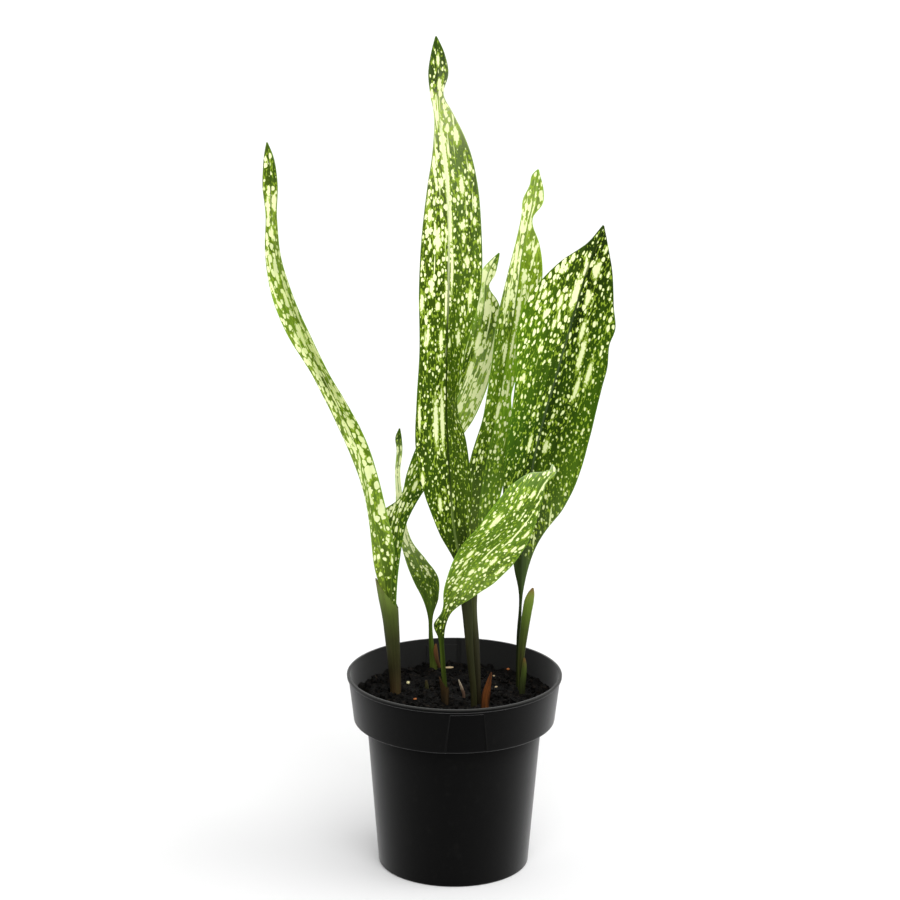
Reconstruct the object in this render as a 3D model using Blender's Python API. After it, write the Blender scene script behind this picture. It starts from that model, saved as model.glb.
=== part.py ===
"""Potted cast iron plant: a nursery pot filled with potting mix, with leaves, sheaths and shoots standing in it.

Origin: centre of the pot's base, on the surface it stands on. +X right, +Y to the back, +Z up. Metres.
Leaves and shoots are listed in millimetres, because their sizes are read most easily that way.
"""

import math

import bmesh
import bpy
import numpy as np

MM = 0.001

# Pot
POT_HEIGHT = 0.172
RIM_RADIUS = 0.093
LIP_HEIGHT = 0.0035
LIP_PROUD = 0.0016
BAND_BOTTOM_Z = 0.1305
BAND_BOTTOM_RADIUS = 0.0868
BODY_TOP_RADIUS = 0.0757
BASE_RADIUS = 0.0652
BASE_CHAMFER = 0.0018
LIP_ROUND = 0.0013
BAND_ROUND = 0.0014
STEP_ROUND = 0.001
WALL = 0.0016
FLOOR = 0.0022
ROUND_SEGMENTS = 48
DRAIN_HOLES = 8
DRAIN_HOLE_RADIUS = 0.005
DRAIN_CIRCLE_RADIUS = 0.047
DRAIN_TURN_DEG = 26.25

# Label recess, one at the front and one at the back of the rim band
RECESS_DEPTH = 0.0006
RECESS_TURN_DEG = 6.8
RECESS_TOP_Z = 0.1665
RECESS_BOTTOM_Z = 0.1325
RECESS_TOP_HALF_DEG = 9.0
RECESS_BOTTOM_HALF_DEG = 11.3
RECESS_COLUMNS = 8

# Potting mix
FIT_GAP = 0.0004
SOIL_Z = 0.1495
SOIL_LUMP = 0.0016
SOIL_RINGS = 7

# Planting: the room round each stalk, and how far its hole's cutter reaches up
HOLE_TOP_MM = 160.0
HOLE_GAP_MM = 0.5
HOLE_SIDES = 16

# Blade sections
EDGE_THICK_MM = 0.7
RIB_SPREAD = 2.2
ACROSS = np.array([-1.0, -0.66, -0.3, 0.0, 0.3, 0.66, 1.0])
RINGS_PER_STATION = 2

# A station is: middle x, y, z, width left, width right, thickness at the midrib (mm),
# turn of the blade about its own length, lift of the left half, lift of the right half (degrees).
LEAVES = {
    "leaf_tall_left": (
        (-51, 8.6, 125, 2.6, 2.6, 3.8, 0, 0, 0),
        (-51, 8.6, 152, 2.6, 2.6, 3.8, 0, 0, 0),
        (-54, 8.4, 200, 3.2, 3.2, 4.0, 0, 5, 5),
        (-57.8, 8.8, 232, 4.0, 4.2, 3.4, 0, 0, 0),
        (-60.3, 9.3, 252, 5.8, 6.0, 2.6, 0, 5, 5),
        (-63.5, 9.2, 272, 8.6, 12.0, 2.0, 0, 40, 10),
        (-71, 9.5, 310, 12.0, 13.5, 1.6, 0, 76, 15),
        (-83, 10, 368, 20.0, 11.0, 1.5, 0, 75, 25),
        (-98, 10, 404, 20.0, 14.0, 1.4, 0, 74, 50),
        (-115, 10, 439, 21.0, 16.0, 1.4, 0, 75, 64),
        (-132, 12, 473, 22.0, 17.0, 1.3, 0, 66, 63),
        (-145, 14, 507, 20.0, 15.0, 1.3, 0, 60, 64),
        (-153, 16, 541, 13.0, 10.0, 1.2, 0, 55, 60),
        (-155.5, 18, 568, 6.5, 6.5, 1.2, 0, 45, 40),
        (-156, 20, 597, 7.7, 7.0, 1.1, 0, 30, 30),
        (-157.5, 21, 617, 4.6, 5.0, 1.0, 0, 25, 20),
        (-158.8, 22, 631, 0.6, 0.6, 0.7, 0, 0, 0),
    ),
    "leaf_back_middle": (
        (-51, 13.6, 125, 2.6, 2.6, 3.8, 0, 0, 0),
        (-51, 13.6, 152, 2.6, 2.6, 3.8, 0, 0, 0),
        (-53, 13.8, 200, 3.2, 3.2, 4.0, 0, 0, 0),
        (-54.5, 14.2, 232, 4.2, 4.2, 3.4, 0, 10, 10),
        (-52, 19, 270, 8.0, 5.0, 2.0, 5, 25, 25),
        (-47, 24, 305, 21.5, 7.0, 1.6, 5, 25, 20),
        (-42, 26, 320, 9.5, 9.0, 1.5, 10, 35, 20),
        (-34, 29, 340, 12.0, 13.0, 1.5, 10, 35, 20),
        (-22, 35, 366, 14.0, 16.5, 1.5, 10, 30, 15),
        (-3, 42, 397, 19.0, 20.5, 1.4, 10, 25, 20),
        (11, 50, 430, 20.0, 20.0, 1.4, 10, 25, 25),
        (20, 57, 462, 18.0, 18.0, 1.3, 5, 25, 25),
        (23.5, 60.5, 486, 13.0, 14.0, 1.2, 0, 25, 25),
        (24, 62, 500, 5.0, 4.0, 1.2, 0, 25, 25),
        (27, 63.5, 512, 6.2, 6.5, 1.1, 0, 20, 20),
        (31, 65, 520, 3.4, 4.5, 1.0, 0, 15, 15),
        (36, 66, 528, 0.6, 0.6, 0.7, 0, 0, 0),
    ),
    "leaf_tall_centre": (
        (16.8, -25.2, 125, 2.6, 2.6, 5.0, 0, 0, 0),
        (16.8, -25.2, 152, 2.6, 2.6, 5.0, 0, 0, 0),
        (12.8, -26.3, 200, 3.0, 3.4, 5.0, 0, 0, 0),
        (9.4, -29.5, 246, 4.4, 5.0, 4.6, 0, 0, 0),
        (4.2, -32, 284, 5.0, 6.0, 3.0, 0, 15, 15),
        (-1, -35, 312, 13.3, 13.0, 2.2, 0, 20, 20),
        (-4, -38, 345, 22.5, 19.5, 1.8, 0, 20, 25),
        (-7, -42, 392, 28.5, 20.0, 1.6, 0, 20, 37),
        (-8, -45, 428, 27.0, 21.0, 1.5, 0, 22, 65),
        (-8, -48, 471, 24.5, 21.0, 1.5, 0, 22, 47),
        (-7, -52, 530, 26.0, 28.5, 1.4, 0, 22, 20),
        (-7, -54, 575, 23.5, 27.5, 1.4, 0, 22, 15),
        (-9, -56, 615, 17.0, 25.5, 1.3, 0, 25, 15),
        (-12.5, -56, 645, 9.0, 21.5, 1.3, 0, 30, 20),
        (-15.5, -55, 672, 5.5, 11.5, 1.2, 0, 35, 25),
        (-16.5, -54.5, 685, 6.6, 5.6, 1.2, 0, 25, 30),
        (-17, -54, 703, 7.8, 9.6, 1.1, 0, 20, 20),
        (-17.5, -52, 719, 4.8, 6.2, 1.0, 0, 15, 15),
        (-18.2, -50, 732, 0.6, 0.6, 0.7, 0, 0, 0),
    ),
    "leaf_second": (
        (19.3, -19.0, 125, 3.6, 3.6, 5.4, 0, 0, 0),
        (19.3, -19.0, 152, 3.6, 3.6, 5.4, 0, 0, 0),
        (18.4, -19.8, 200, 3.1, 3.1, 5.0, 0, 0, 0),
        (15.6, -22.2, 246, 3.1, 3.3, 4.2, 0, 0, 0),
        (17.5, -17, 285, 6.0, 6.0, 2.8, 0, 15, 15),
        (20, -4, 325, 14.0, 16.0, 2.0, 0, 22, 8),
        (26, 5, 362, 16.5, 18.5, 1.6, 0, 34, 14),
        (34, 12, 398, 14.0, 15.5, 1.5, 0, 38, 22),
        (37.3, 17, 416, 14.4, 10.6, 1.5, 0, 38, 26),
        (41, 22, 438, 15.0, 13.6, 1.5, 0, 38, 28),
        (48, 31, 478, 15.0, 17.0, 1.4, 0, 25, 25),
        (53, 39, 515, 13.0, 20.0, 1.3, 0, 37, 15),
        (57, 44, 545, 8.0, 12.5, 1.3, 0, 30, 10),
        (61, 47, 563, 8.4, 3.2, 1.3, 0, 30, 30),
        (64, 49, 577, 9.2, 8.6, 1.1, 0, 15, 10),
        (66, 51, 590, 5.2, 6.4, 1.0, 0, 10, 10),
        (67.3, 51.7, 599, 4.2, 2.4, 0.9, 0, 5, 5),
        (68, 52, 603.5, 0.6, 0.6, 0.7, 0, 0, 0),
    ),
    "leaf_broad_right": (
        (55.5, 26, 125, 1.9, 1.9, 3.6, 0, 0, 0),
        (55.5, 26, 152, 1.9, 1.9, 3.6, 0, 0, 0),
        (55.7, 25, 195, 2.0, 2.0, 3.4, 0, 0, 0),
        (57, 22, 240, 2.2, 2.2, 3.0, 0, 0, 0),
        (57.5, 18, 262, 7.2, 5.8, 2.2, 0, 20, 20),
        (59, 13, 292, 14.0, 14.5, 1.9, 0, 22, 22),
        (61.5, 8, 325, 23.0, 32.0, 1.7, 0, 24, 22),
        (66, 2, 362, 28.0, 42.0, 1.6, 0, 26, 24),
        (74, -4, 402, 32.0, 43.5, 1.5, 0, 26, 24),
        (85, -9, 445, 40.0, 41.5, 1.5, 0, 24, 24),
        (89.4, -10.1, 462, 44.8, 41.0, 1.5, 0, 23, 24),
        (94, -11, 480, 48.0, 37.5, 1.4, 0, 22, 24),
        (98, -11.6, 495, 46.7, 38.5, 1.4, 0, 22, 25),
        (102, -12, 510, 42.0, 32.5, 1.4, 0, 22, 26),
        (109, -12, 535, 25.0, 23.0, 1.3, 0, 22, 26),
        (114.5, -11, 553, 7.0, 12.5, 1.1, 0, 20, 20),
        (121.0, -9.5, 569, 0.6, 0.6, 0.7, 0, 0, 0),
    ),
    "leaf_low_front": (
        (-8, -9, 125, 2.2, 2.2, 4.0, 0, 0, 0),
        (-8, -9, 152, 2.2, 2.2, 4.0, 0, 0, 0),
        (-10, -13, 185, 2.1, 2.1, 3.8, 0, 0, 0),
        (-11.5, -20, 211, 2.8, 2.6, 2.8, 0, 10, 10),
        (-10.5, -26, 225, 7.6, 3.2, 2.2, 0, 10, 20),
        (-8, -31, 238, 4.0, 5.0, 2.0, 5, 25, 25),
        (0, -41, 260, 11.5, 15.5, 1.7, 5, 20, 15),
        (12.5, -51, 281, 21.5, 23.0, 1.5, 5, 18, 10),
        (28.5, -58, 301, 29.0, 24.0, 1.4, 5, 16, 10),
        (43.5, -63, 317, 31.0, 18.5, 1.4, 5, 16, 15),
        (56, -66, 334, 31.0, 12.5, 1.3, 5, 18, 20),
        (66, -67, 351, 27.0, 7.0, 1.2, 5, 20, 30),
        (73, -65, 363, 15.5, 2.6, 1.1, 5, 20, 30),
        (76.5, -63.3, 367.5, 7.0, 2.4, 1.0, 5, 20, 25),
        (80, -62.3, 371.8, 3.2, 3.4, 0.9, 0, 10, 10),
        (79.8, -61, 377.5, 0.6, 0.6, 0.8, 0, 0, 0),
    ),
    "leaf_small_left": (
        (-18.5, 73, 136, 3.4, 3.4, 4.6, 0, 0, 0),
        (-18.5, 73, 152, 3.4, 3.4, 4.6, 0, 0, 0),
        (-20.7, 72, 176, 2.1, 2.1, 3.4, 0, 0, 0),
        (-21.3, 71, 200, 2.6, 2.4, 2.8, 0, 10, 10),
        (-22.5, 69, 218, 6.5, 9.0, 1.8, 0, 20, 20),
        (-27, 67, 235, 9.5, 14.0, 1.5, 0, 22, 22),
        (-33.5, 64.5, 252, 9.5, 9.5, 1.4, 0, 22, 22),
        (-41, 61, 271, 7.0, 4.0, 1.3, 0, 25, 25),
        (-47, 58.5, 294, 6.0, 4.0, 1.2, 0, 35, 35),
        (-49, 57, 315, 3.6, 3.0, 1.1, 10, 30, 30),
        (-50.5, 56, 338, 2.6, 2.6, 1.1, 25, 20, 20),
        (-48.5, 55.5, 357, 2.8, 2.8, 1.0, -10, 20, 20),
        (-49.5, 56, 367, 2.8, 2.8, 1.0, 5, 10, 10),
        (-48.5, 56, 375, 0.6, 0.6, 0.7, 0, 0, 0),
    ),
    "scale_small_leaf": (
        (-13.2, 70, 136, 1.3, 1.3, 1.2, 0, 0, 0),
        (-13.2, 70, 150, 1.3, 1.3, 1.2, 0, 0, 0),
        (-15.4, 69, 160, 2.0, 1.6, 0.9, 0, 25, 10),
        (-16.6, 69, 168, 2.0, 1.8, 0.8, 0, 20, 5),
        (-16.6, 69, 174, 0.7, 0.9, 0.7, 0, 0, 0),
    ),
    "young_shoot": (
        (57.4, 19.8, 125, 2.2, 2.2, 4.2, 0, 0, 0),
        (57.4, 19.8, 152, 2.2, 2.2, 4.2, 0, 0, 0),
        (57.8, 19.2, 180, 3.0, 3.0, 4.8, 0, 0, 0),
        (60.0, 18, 203, 3.7, 3.7, 5.2, 0, 0, 0),
        (62.4, 17, 222, 4.1, 4.1, 5.0, 0, 0, 0),
        (64.5, 16.6, 234, 3.9, 3.9, 3.8, 0, 0, 0),
        (66.2, 16.4, 240.5, 2.4, 2.4, 2.4, 0, 0, 0),
        (67.2, 16.3, 244, 0.7, 0.7, 0.8, 0, 0, 0),
    ),
    "scale_young_shoot": (
        (58.9, 14.2, 125, 2.6, 2.6, 2.2, 0, 0, 0),
        (58.9, 14.2, 152, 2.6, 2.6, 2.2, 0, 0, 0),
        (60.0, 13.8, 165, 2.8, 2.8, 1.8, 0, -25, -25),
        (60.6, 13.6, 175, 2.0, 2.0, 1.4, 0, -20, -20),
        (60.4, 13.8, 181, 0.7, 0.7, 0.8, 0, 0, 0),
    ),
    "scale_brown": (
        (26.2, -29.5, 125, 3.6, 3.4, 1.6, 0, 0, 0),
        (26.2, -29.5, 152, 3.6, 3.4, 1.6, 0, 0, 0),
        (27.2, -29.2, 164, 3.8, 3.8, 1.2, 0, 25, 20),
        (29.4, -29, 174, 2.4, 2.2, 1.0, 0, 20, 15),
        (31.4, -29, 183, 0.6, 0.7, 0.7, 0, 0, 0),
    ),
    "scale_pale": (
        (8.2, -0.5, 125, 1.3, 1.3, 2.0, 0, 0, 0),
        (8.2, -0.5, 151, 1.3, 1.3, 2.0, 0, 0, 0),
        (6.4, -0.8, 158, 1.3, 1.3, 1.8, 0, 0, 0),
        (3.6, -1, 166, 0.5, 0.5, 0.7, 0, 0, 0),
    ),
    "stub_green": (
        (-24, 19, 125, 1.8, 1.8, 2.8, 0, 0, 0),
        (-24, 19, 150, 1.8, 1.8, 2.8, 0, 0, 0),
        (-24.2, 19, 154, 1.6, 1.6, 2.2, 0, 0, 0),
        (-24.4, 19, 158, 0.9, 0.9, 1.2, 0, 0, 0),
    ),
}

# A sheath is a tube round the stalks. A station is: middle x, y, z, half width, half depth (mm).
IN_A_SHEATH = ("leaf_tall_left", "leaf_back_middle", "leaf_low_front")
SHEATH_WALL_MM = 0.8
SHEATH_SIDES = 16
SHEATH_RINGS = 7
SHEATHS = {
    "sheath_left_stem": {
        "stations": (
            (-51, 11.1, 125, 4.8, 5.9),
            (-51, 11.1, 152, 4.8, 5.9),
            (-52.2, 11.1, 176, 5.5, 6.3),
            (-53.9, 11.2, 200, 6.5, 6.7),
            (-55.4, 11.4, 218, 7.2, 7.3),
            (-57.6, 11.6, 236, 8.4, 7.8),
            (-59.6, 11.8, 256, 9.6, 8.2),
        ),
        "mouth_mm": 240.0,
        "mouth_tilt_mm": 13.0,
        "mouth_turn_deg": 180.0,
    },
    "sheath_low_leaf": {
        "stations": (
            (-8, -9, 125, 3.7, 3.4),
            (-8, -9, 152, 3.7, 3.4),
            (-9.2, -11.2, 172, 4.2, 4.0),
            (-9.9, -12.6, 182, 4.6, 4.4),
        ),
        "mouth_mm": 166.0,
        "mouth_tilt_mm": 6.0,
        "mouth_turn_deg": 180.0,
    },
}

COLOURS = {
    "pot": ((0.016, 0.016, 0.017), 0.45),
    "potting_soil": ((0.012, 0.010, 0.008), 0.95),
    "blade": ((0.075, 0.16, 0.022), 0.4),
    "sheath": ((0.07, 0.075, 0.03), 0.5),
    "dry": ((0.28, 0.10, 0.03), 0.7),
    "pale": ((0.48, 0.38, 0.24), 0.7),
}


def clear_scene():
    for old in list(bpy.data.objects):
        bpy.data.objects.remove(old)


def material(name):
    found = bpy.data.materials.get(name)
    if found:
        return found
    colour, roughness = COLOURS[name]
    new = bpy.data.materials.new(name)
    new.use_nodes = True
    shader = new.node_tree.nodes["Principled BSDF"]
    shader.inputs["Base Color"].default_value = (*colour, 1.0)
    shader.inputs["Roughness"].default_value = roughness
    shader.inputs["Metallic"].default_value = 0.0
    return new


def add_object(name, vertices, faces, finish=None, smooth_deg=None):
    mesh = bpy.data.meshes.new(name)
    mesh.from_pydata([tuple(v) for v in vertices], [], faces)
    mesh.validate()
    new = bpy.data.objects.new(name, mesh)
    bpy.context.scene.collection.objects.link(new)
    if finish:
        mesh.materials.append(material(finish))
    if smooth_deg:
        mesh.shade_smooth()
        mesh.set_sharp_from_angle(angle=math.radians(smooth_deg))
    return new


def cut(target, cutter):
    cutter.hide_render = True
    cutter.display_type = "WIRE"
    boolean = target.modifiers.new(cutter.name, "BOOLEAN")
    boolean.operation = "DIFFERENCE"
    boolean.object = cutter


def smooth_path(stations, steps):
    """Every column of the stations as a smooth curve through them, with the same number of steps between
    each two. The slope at a station is the mean of the slopes on its two sides, each weighted by the other's
    length. The first stretch stands straight in the mix."""
    rows = np.array(stations, float)
    lengths = np.linalg.norm(np.diff(rows[:, :3], axis=0), axis=1)
    slopes = np.diff(rows, axis=0) / lengths[:, None]
    tangents = np.vstack([slopes[:1], slopes[1:], slopes[-1:]])
    before, after = lengths[:-1, None], lengths[1:, None]
    tangents[1:-1] = (slopes[:-1] * after + slopes[1:] * before) / (before + after)
    tangents[1] = slopes[0]
    out = []
    for i, length in enumerate(lengths):
        t = np.arange(steps)[:, None] / steps
        out.append(
            (1 + 2 * t) * (1 - t) ** 2 * rows[i]
            + t * (1 - t) ** 2 * length * tangents[i]
            + t * t * (3 - 2 * t) * rows[i + 1]
            + t * t * (t - 1) * length * tangents[i + 1]
        )
    return np.vstack(out + [rows[-1:]])


def unit(vectors):
    return vectors / np.linalg.norm(vectors, axis=1, keepdims=True)


def blade_faces(path):
    """Points of the upper and the lower face of a leaf, one row for each ring, one column for each value of
    ACROSS. The width runs across the leaf's own length, turned from +X. Each half is lifted by its own angle,
    and the thickness falls from the midrib to the edge as a quarter ellipse."""
    middle, left, right, thick = path[:, :3], path[:, 3], path[:, 4], path[:, 5]
    turn, lift_left, lift_right = np.radians(path[:, 6:9]).T
    along = unit(np.gradient(middle, axis=0))
    width = np.stack([np.cos(turn), np.sin(turn), np.zeros(len(turn))], axis=1)
    width = unit(width - along * np.sum(width * along, axis=1, keepdims=True))
    normal = np.cross(width, along)

    half = np.where(ACROSS < 0, left[:, None], right[:, None])
    lift = np.where(ACROSS < 0, lift_left[:, None], lift_right[:, None])
    reach = ACROSS * half
    rise = np.abs(reach) * np.sin(lift)
    reach = reach * np.cos(lift)
    rib = np.minimum(half, RIB_SPREAD * thick[:, None])
    from_rib = np.clip(np.abs(ACROSS) * half / rib, 0, 1)
    depth = EDGE_THICK_MM + (thick[:, None] - EDGE_THICK_MM) * np.sqrt(1 - from_rib**2)

    centre = middle[:, None] + reach[..., None] * width[:, None] + rise[..., None] * normal[:, None]
    offset = depth[..., None] / 2 * normal[:, None]
    return centre + offset, centre - offset


def closed_blade(upper, lower):
    """One closed skin over both faces, split into triangles alike on both, with a flat edge and flat ends."""
    rings, columns = upper.shape[:2]
    vertices = np.concatenate([upper.reshape(-1, 3), lower.reshape(-1, 3)])

    def top(i, j):
        return i * columns + j

    def under(i, j):
        return rings * columns + i * columns + j

    faces = []
    for i in range(rings - 1):
        for j in range(columns - 1):
            faces.append((top(i, j), top(i, j + 1), top(i + 1, j + 1)))
            faces.append((top(i, j), top(i + 1, j + 1), top(i + 1, j)))
            faces.append((under(i, j), under(i + 1, j + 1), under(i, j + 1)))
            faces.append((under(i, j), under(i + 1, j), under(i + 1, j + 1)))
        last = columns - 1
        faces.append((top(i, last), under(i, last), under(i + 1, last)))
        faces.append((top(i, last), under(i + 1, last), top(i + 1, last)))
        faces.append((top(i, 0), under(i + 1, 0), under(i, 0)))
        faces.append((top(i, 0), top(i + 1, 0), under(i + 1, 0)))
    for j in range(columns - 1):
        end = rings - 1
        faces.append((top(0, j), under(0, j), under(0, j + 1)))
        faces.append((top(0, j), under(0, j + 1), top(0, j + 1)))
        faces.append((top(end, j), under(end, j + 1), under(end, j)))
        faces.append((top(end, j), top(end, j + 1), under(end, j + 1)))
    return vertices, faces


def make_leaf(name, finish):
    path = smooth_path(LEAVES[name], RINGS_PER_STATION)
    vertices, faces = closed_blade(*blade_faces(path))
    return add_object(name, vertices * MM, faces, finish, smooth_deg=60)


def make_sheath(name, finish):
    """A tube whose mouth is cut off on a slant, highest at mouth_turn_deg. Both walls share their rings."""
    sheath = SHEATHS[name]
    path = smooth_path(sheath["stations"], 8)
    angles = np.linspace(0, 2 * math.pi, SHEATH_SIDES, endpoint=False)
    toward = np.cos(angles - math.radians(sheath["mouth_turn_deg"]))
    mouth = sheath["mouth_mm"] + sheath["mouth_tilt_mm"] * toward
    share = np.linspace(0, 1, SHEATH_RINGS)[:, None]
    height = path[0, 2] + share * (mouth - path[0, 2])

    def wall(inset):
        x = np.interp(height, path[:, 2], path[:, 0])
        y = np.interp(height, path[:, 2], path[:, 1])
        half_width = np.interp(height, path[:, 2], path[:, 3]) - inset
        half_depth = np.interp(height, path[:, 2], path[:, 4]) - inset
        return np.stack([x + half_width * np.cos(angles), y + half_depth * np.sin(angles), height], axis=2)

    loops = np.concatenate([wall(0), wall(SHEATH_WALL_MM)[::-1]])
    count = len(loops)
    faces = []
    for i in range(count):
        here, above = i * SHEATH_SIDES, (i + 1) % count * SHEATH_SIDES
        for j in range(SHEATH_SIDES):
            k = (j + 1) % SHEATH_SIDES
            faces.append((here + j, here + k, above + k, above + j))
    return add_object(name, loops.reshape(-1, 3) * MM, faces, finish, smooth_deg=50)


def lathe(name, profile, steps):
    """A profile in X and Z turned about Z by a Screw modifier. It runs down the outer side."""
    points = [(x, 0.0, z) for x, z in profile]
    edges = [(i, i + 1) for i in range(len(points) - 1)]
    mesh = bpy.data.meshes.new(name)
    mesh.from_pydata(points, edges, [])
    new = bpy.data.objects.new(name, mesh)
    bpy.context.scene.collection.objects.link(new)
    screw = new.modifiers.new("turned", "SCREW")
    screw.steps = screw.render_steps = steps
    screw.use_merge_vertices = True
    screw.merge_threshold = 0.00001
    screw.use_smooth_shade = True
    return new


def band_radius(z):
    """Outer radius of the rim band, which widens upwards to just under the lip."""
    top = RIM_RADIUS - LIP_PROUD
    share = (z - BAND_BOTTOM_Z) / (POT_HEIGHT - LIP_HEIGHT - BAND_BOTTOM_Z)
    return BAND_BOTTOM_RADIUS + share * (top - BAND_BOTTOM_RADIUS)


def body_radius(z):
    return BASE_RADIUS + z / BAND_BOTTOM_Z * (BODY_TOP_RADIUS - BASE_RADIUS)


def make_pot():
    lip_z = POT_HEIGHT - LIP_HEIGHT
    step_top = BAND_BOTTOM_Z + WALL
    mouth = RIM_RADIUS - LIP_PROUD - WALL
    outer = [
        (RIM_RADIUS - LIP_ROUND, POT_HEIGHT),
        (RIM_RADIUS - 0.3 * LIP_ROUND, POT_HEIGHT - 0.3 * LIP_ROUND),
        (RIM_RADIUS, POT_HEIGHT - LIP_ROUND),
        (RIM_RADIUS - 0.3 * LIP_ROUND, lip_z + 0.5 * LIP_ROUND),
        (band_radius(lip_z), lip_z),
        (band_radius(BAND_BOTTOM_Z + BAND_ROUND), BAND_BOTTOM_Z + BAND_ROUND),
        (BAND_BOTTOM_RADIUS - 0.3 * BAND_ROUND, BAND_BOTTOM_Z + 0.3 * BAND_ROUND),
        (BAND_BOTTOM_RADIUS - BAND_ROUND, BAND_BOTTOM_Z),
        (BODY_TOP_RADIUS + STEP_ROUND, BAND_BOTTOM_Z),
        (BODY_TOP_RADIUS, BAND_BOTTOM_Z - STEP_ROUND),
        (body_radius(BASE_CHAMFER), BASE_CHAMFER),
        (BASE_RADIUS - 0.3 * BASE_CHAMFER, 0.3 * BASE_CHAMFER),
        (BASE_RADIUS - BASE_CHAMFER, 0.0),
        (0.0, 0.0),
    ]
    inner = [
        (0.0, FLOOR),
        (BASE_RADIUS - WALL, FLOOR),
        (body_radius(step_top) - WALL, step_top),
        (BAND_BOTTOM_RADIUS - WALL, step_top),
        (band_radius(lip_z) - WALL, lip_z),
        (mouth, POT_HEIGHT - 0.4 * LIP_ROUND),
        (mouth + 0.4 * LIP_ROUND, POT_HEIGHT),
        outer[0],
    ]
    pot = lathe("pot", outer + inner, ROUND_SEGMENTS)
    pot.data.materials.append(material("pot"))

    for i in range(DRAIN_HOLES):
        angle = 2 * math.pi * i / DRAIN_HOLES + math.radians(DRAIN_TURN_DEG)
        drill = bmesh.new()
        bmesh.ops.create_cone(
            drill,
            cap_ends=True,
            segments=16,
            radius1=DRAIN_HOLE_RADIUS,
            radius2=DRAIN_HOLE_RADIUS,
            depth=4 * FLOOR,
        )
        mesh = bpy.data.meshes.new(f"drain_cutter_{i}")
        drill.to_mesh(mesh)
        drill.free()
        cutter = bpy.data.objects.new(mesh.name, mesh)
        cutter.location = (DRAIN_CIRCLE_RADIUS * math.cos(angle), DRAIN_CIRCLE_RADIUS * math.sin(angle), 0.0)
        bpy.context.scene.collection.objects.link(cutter)
        cut(pot, cutter)

    for i, facing in enumerate((-90 + RECESS_TURN_DEG, 90 + RECESS_TURN_DEG)):
        cut(pot, recess_cutter(f"recess_cutter_{i}", math.radians(facing)))
    return pot


def recess_cutter(name, facing):
    """A curved block that reaches RECESS_DEPTH into the band. It is wider at its bottom."""
    levels = ((RECESS_BOTTOM_Z, RECESS_BOTTOM_HALF_DEG), (RECESS_TOP_Z, RECESS_TOP_HALF_DEG))
    vertices = []
    for z, half in levels:
        angles = facing + np.radians(np.linspace(-half, half, RECESS_COLUMNS + 1))
        for radius in (band_radius(z) - RECESS_DEPTH, band_radius(z) + 2 * BAND_ROUND):
            vertices += [(radius * math.cos(a), radius * math.sin(a), z) for a in angles]
    row = RECESS_COLUMNS + 1
    faces = []
    for j in range(RECESS_COLUMNS):
        faces.append((j, j + 1, 2 * row + j + 1, 2 * row + j))
        faces.append((row + j + 1, row + j, 3 * row + j, 3 * row + j + 1))
        faces.append((j + 1, j, row + j, row + j + 1))
        faces.append((2 * row + j, 2 * row + j + 1, 3 * row + j + 1, 3 * row + j))
    last = RECESS_COLUMNS
    faces.append((0, 2 * row, 3 * row, row))
    faces.append((row + last, 3 * row + last, 2 * row + last, last))
    cutter = add_object(name, vertices, faces)
    bm = bmesh.new()
    bm.from_mesh(cutter.data)
    bmesh.ops.recalc_face_normals(bm, faces=bm.faces)
    bm.to_mesh(cutter.data)
    bm.free()
    return cutter


def soil_height(x, y):
    """Lumps of the mix: four crossed waves of different lengths, lowest at the pot's wall."""
    waves = (
        np.sin(170 * x + 60 * y + 0.4)
        + np.sin(-90 * x + 210 * y + 1.9)
        + 0.8 * np.sin(260 * x - 190 * y + 4.1)
        + 0.6 * np.sin(330 * x + 280 * y + 2.6)
    )
    return SOIL_Z + SOIL_LUMP * waves / 2.2


def make_soil():
    inside = WALL + FIT_GAP
    top_radius = band_radius(SOIL_Z - SOIL_LUMP) - inside
    step_z = BAND_BOTTOM_Z + inside
    floor_z = FLOOR + FIT_GAP
    side = (
        (BAND_BOTTOM_RADIUS - inside, step_z),
        (body_radius(step_z) - inside, step_z),
        (BASE_RADIUS - inside, floor_z),
    )
    angles = np.linspace(0, 2 * math.pi, ROUND_SEGMENTS, endpoint=False)
    rings = []
    for share in np.linspace(1 / SOIL_RINGS, 1, SOIL_RINGS):
        radius = top_radius * share
        x, y = radius * np.cos(angles), radius * np.sin(angles)
        rings.append(np.stack([x, y, soil_height(x, y)], axis=1))
    for radius, z in side:
        level = np.full(len(angles), z)
        rings.append(np.stack([radius * np.cos(angles), radius * np.sin(angles), level], axis=1))
    crown = np.array([[0, 0, soil_height(0, 0)]])
    floor = np.array([[0, 0, floor_z]])
    vertices = np.concatenate(rings + [crown, floor])
    first, last = len(vertices) - 2, len(vertices) - 1
    faces = []
    bottom = (len(rings) - 1) * ROUND_SEGMENTS
    for j in range(ROUND_SEGMENTS):
        k = (j + 1) % ROUND_SEGMENTS
        faces.append((first, j, k))
        faces.append((last, bottom + k, bottom + j))
        for i in range(len(rings) - 1):
            here, outside = i * ROUND_SEGMENTS, (i + 1) * ROUND_SEGMENTS
            faces.append((here + j, outside + j, outside + k))
            faces.append((here + j, outside + k, here + k))
    soil = add_object("potting_soil", vertices, faces, "potting_soil", smooth_deg=50)
    for name, stations in LEAVES.items():
        if name not in IN_A_SHEATH:
            x, y, foot, half_width, _, thick = stations[0][:6]
            cut(soil, hole_cutter(f"{name}_hole", x, y, foot, half_width, thick / 2))
    for name, sheath in SHEATHS.items():
        cut(soil, hole_cutter(f"{name}_hole", *sheath["stations"][0]))
    return soil


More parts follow.
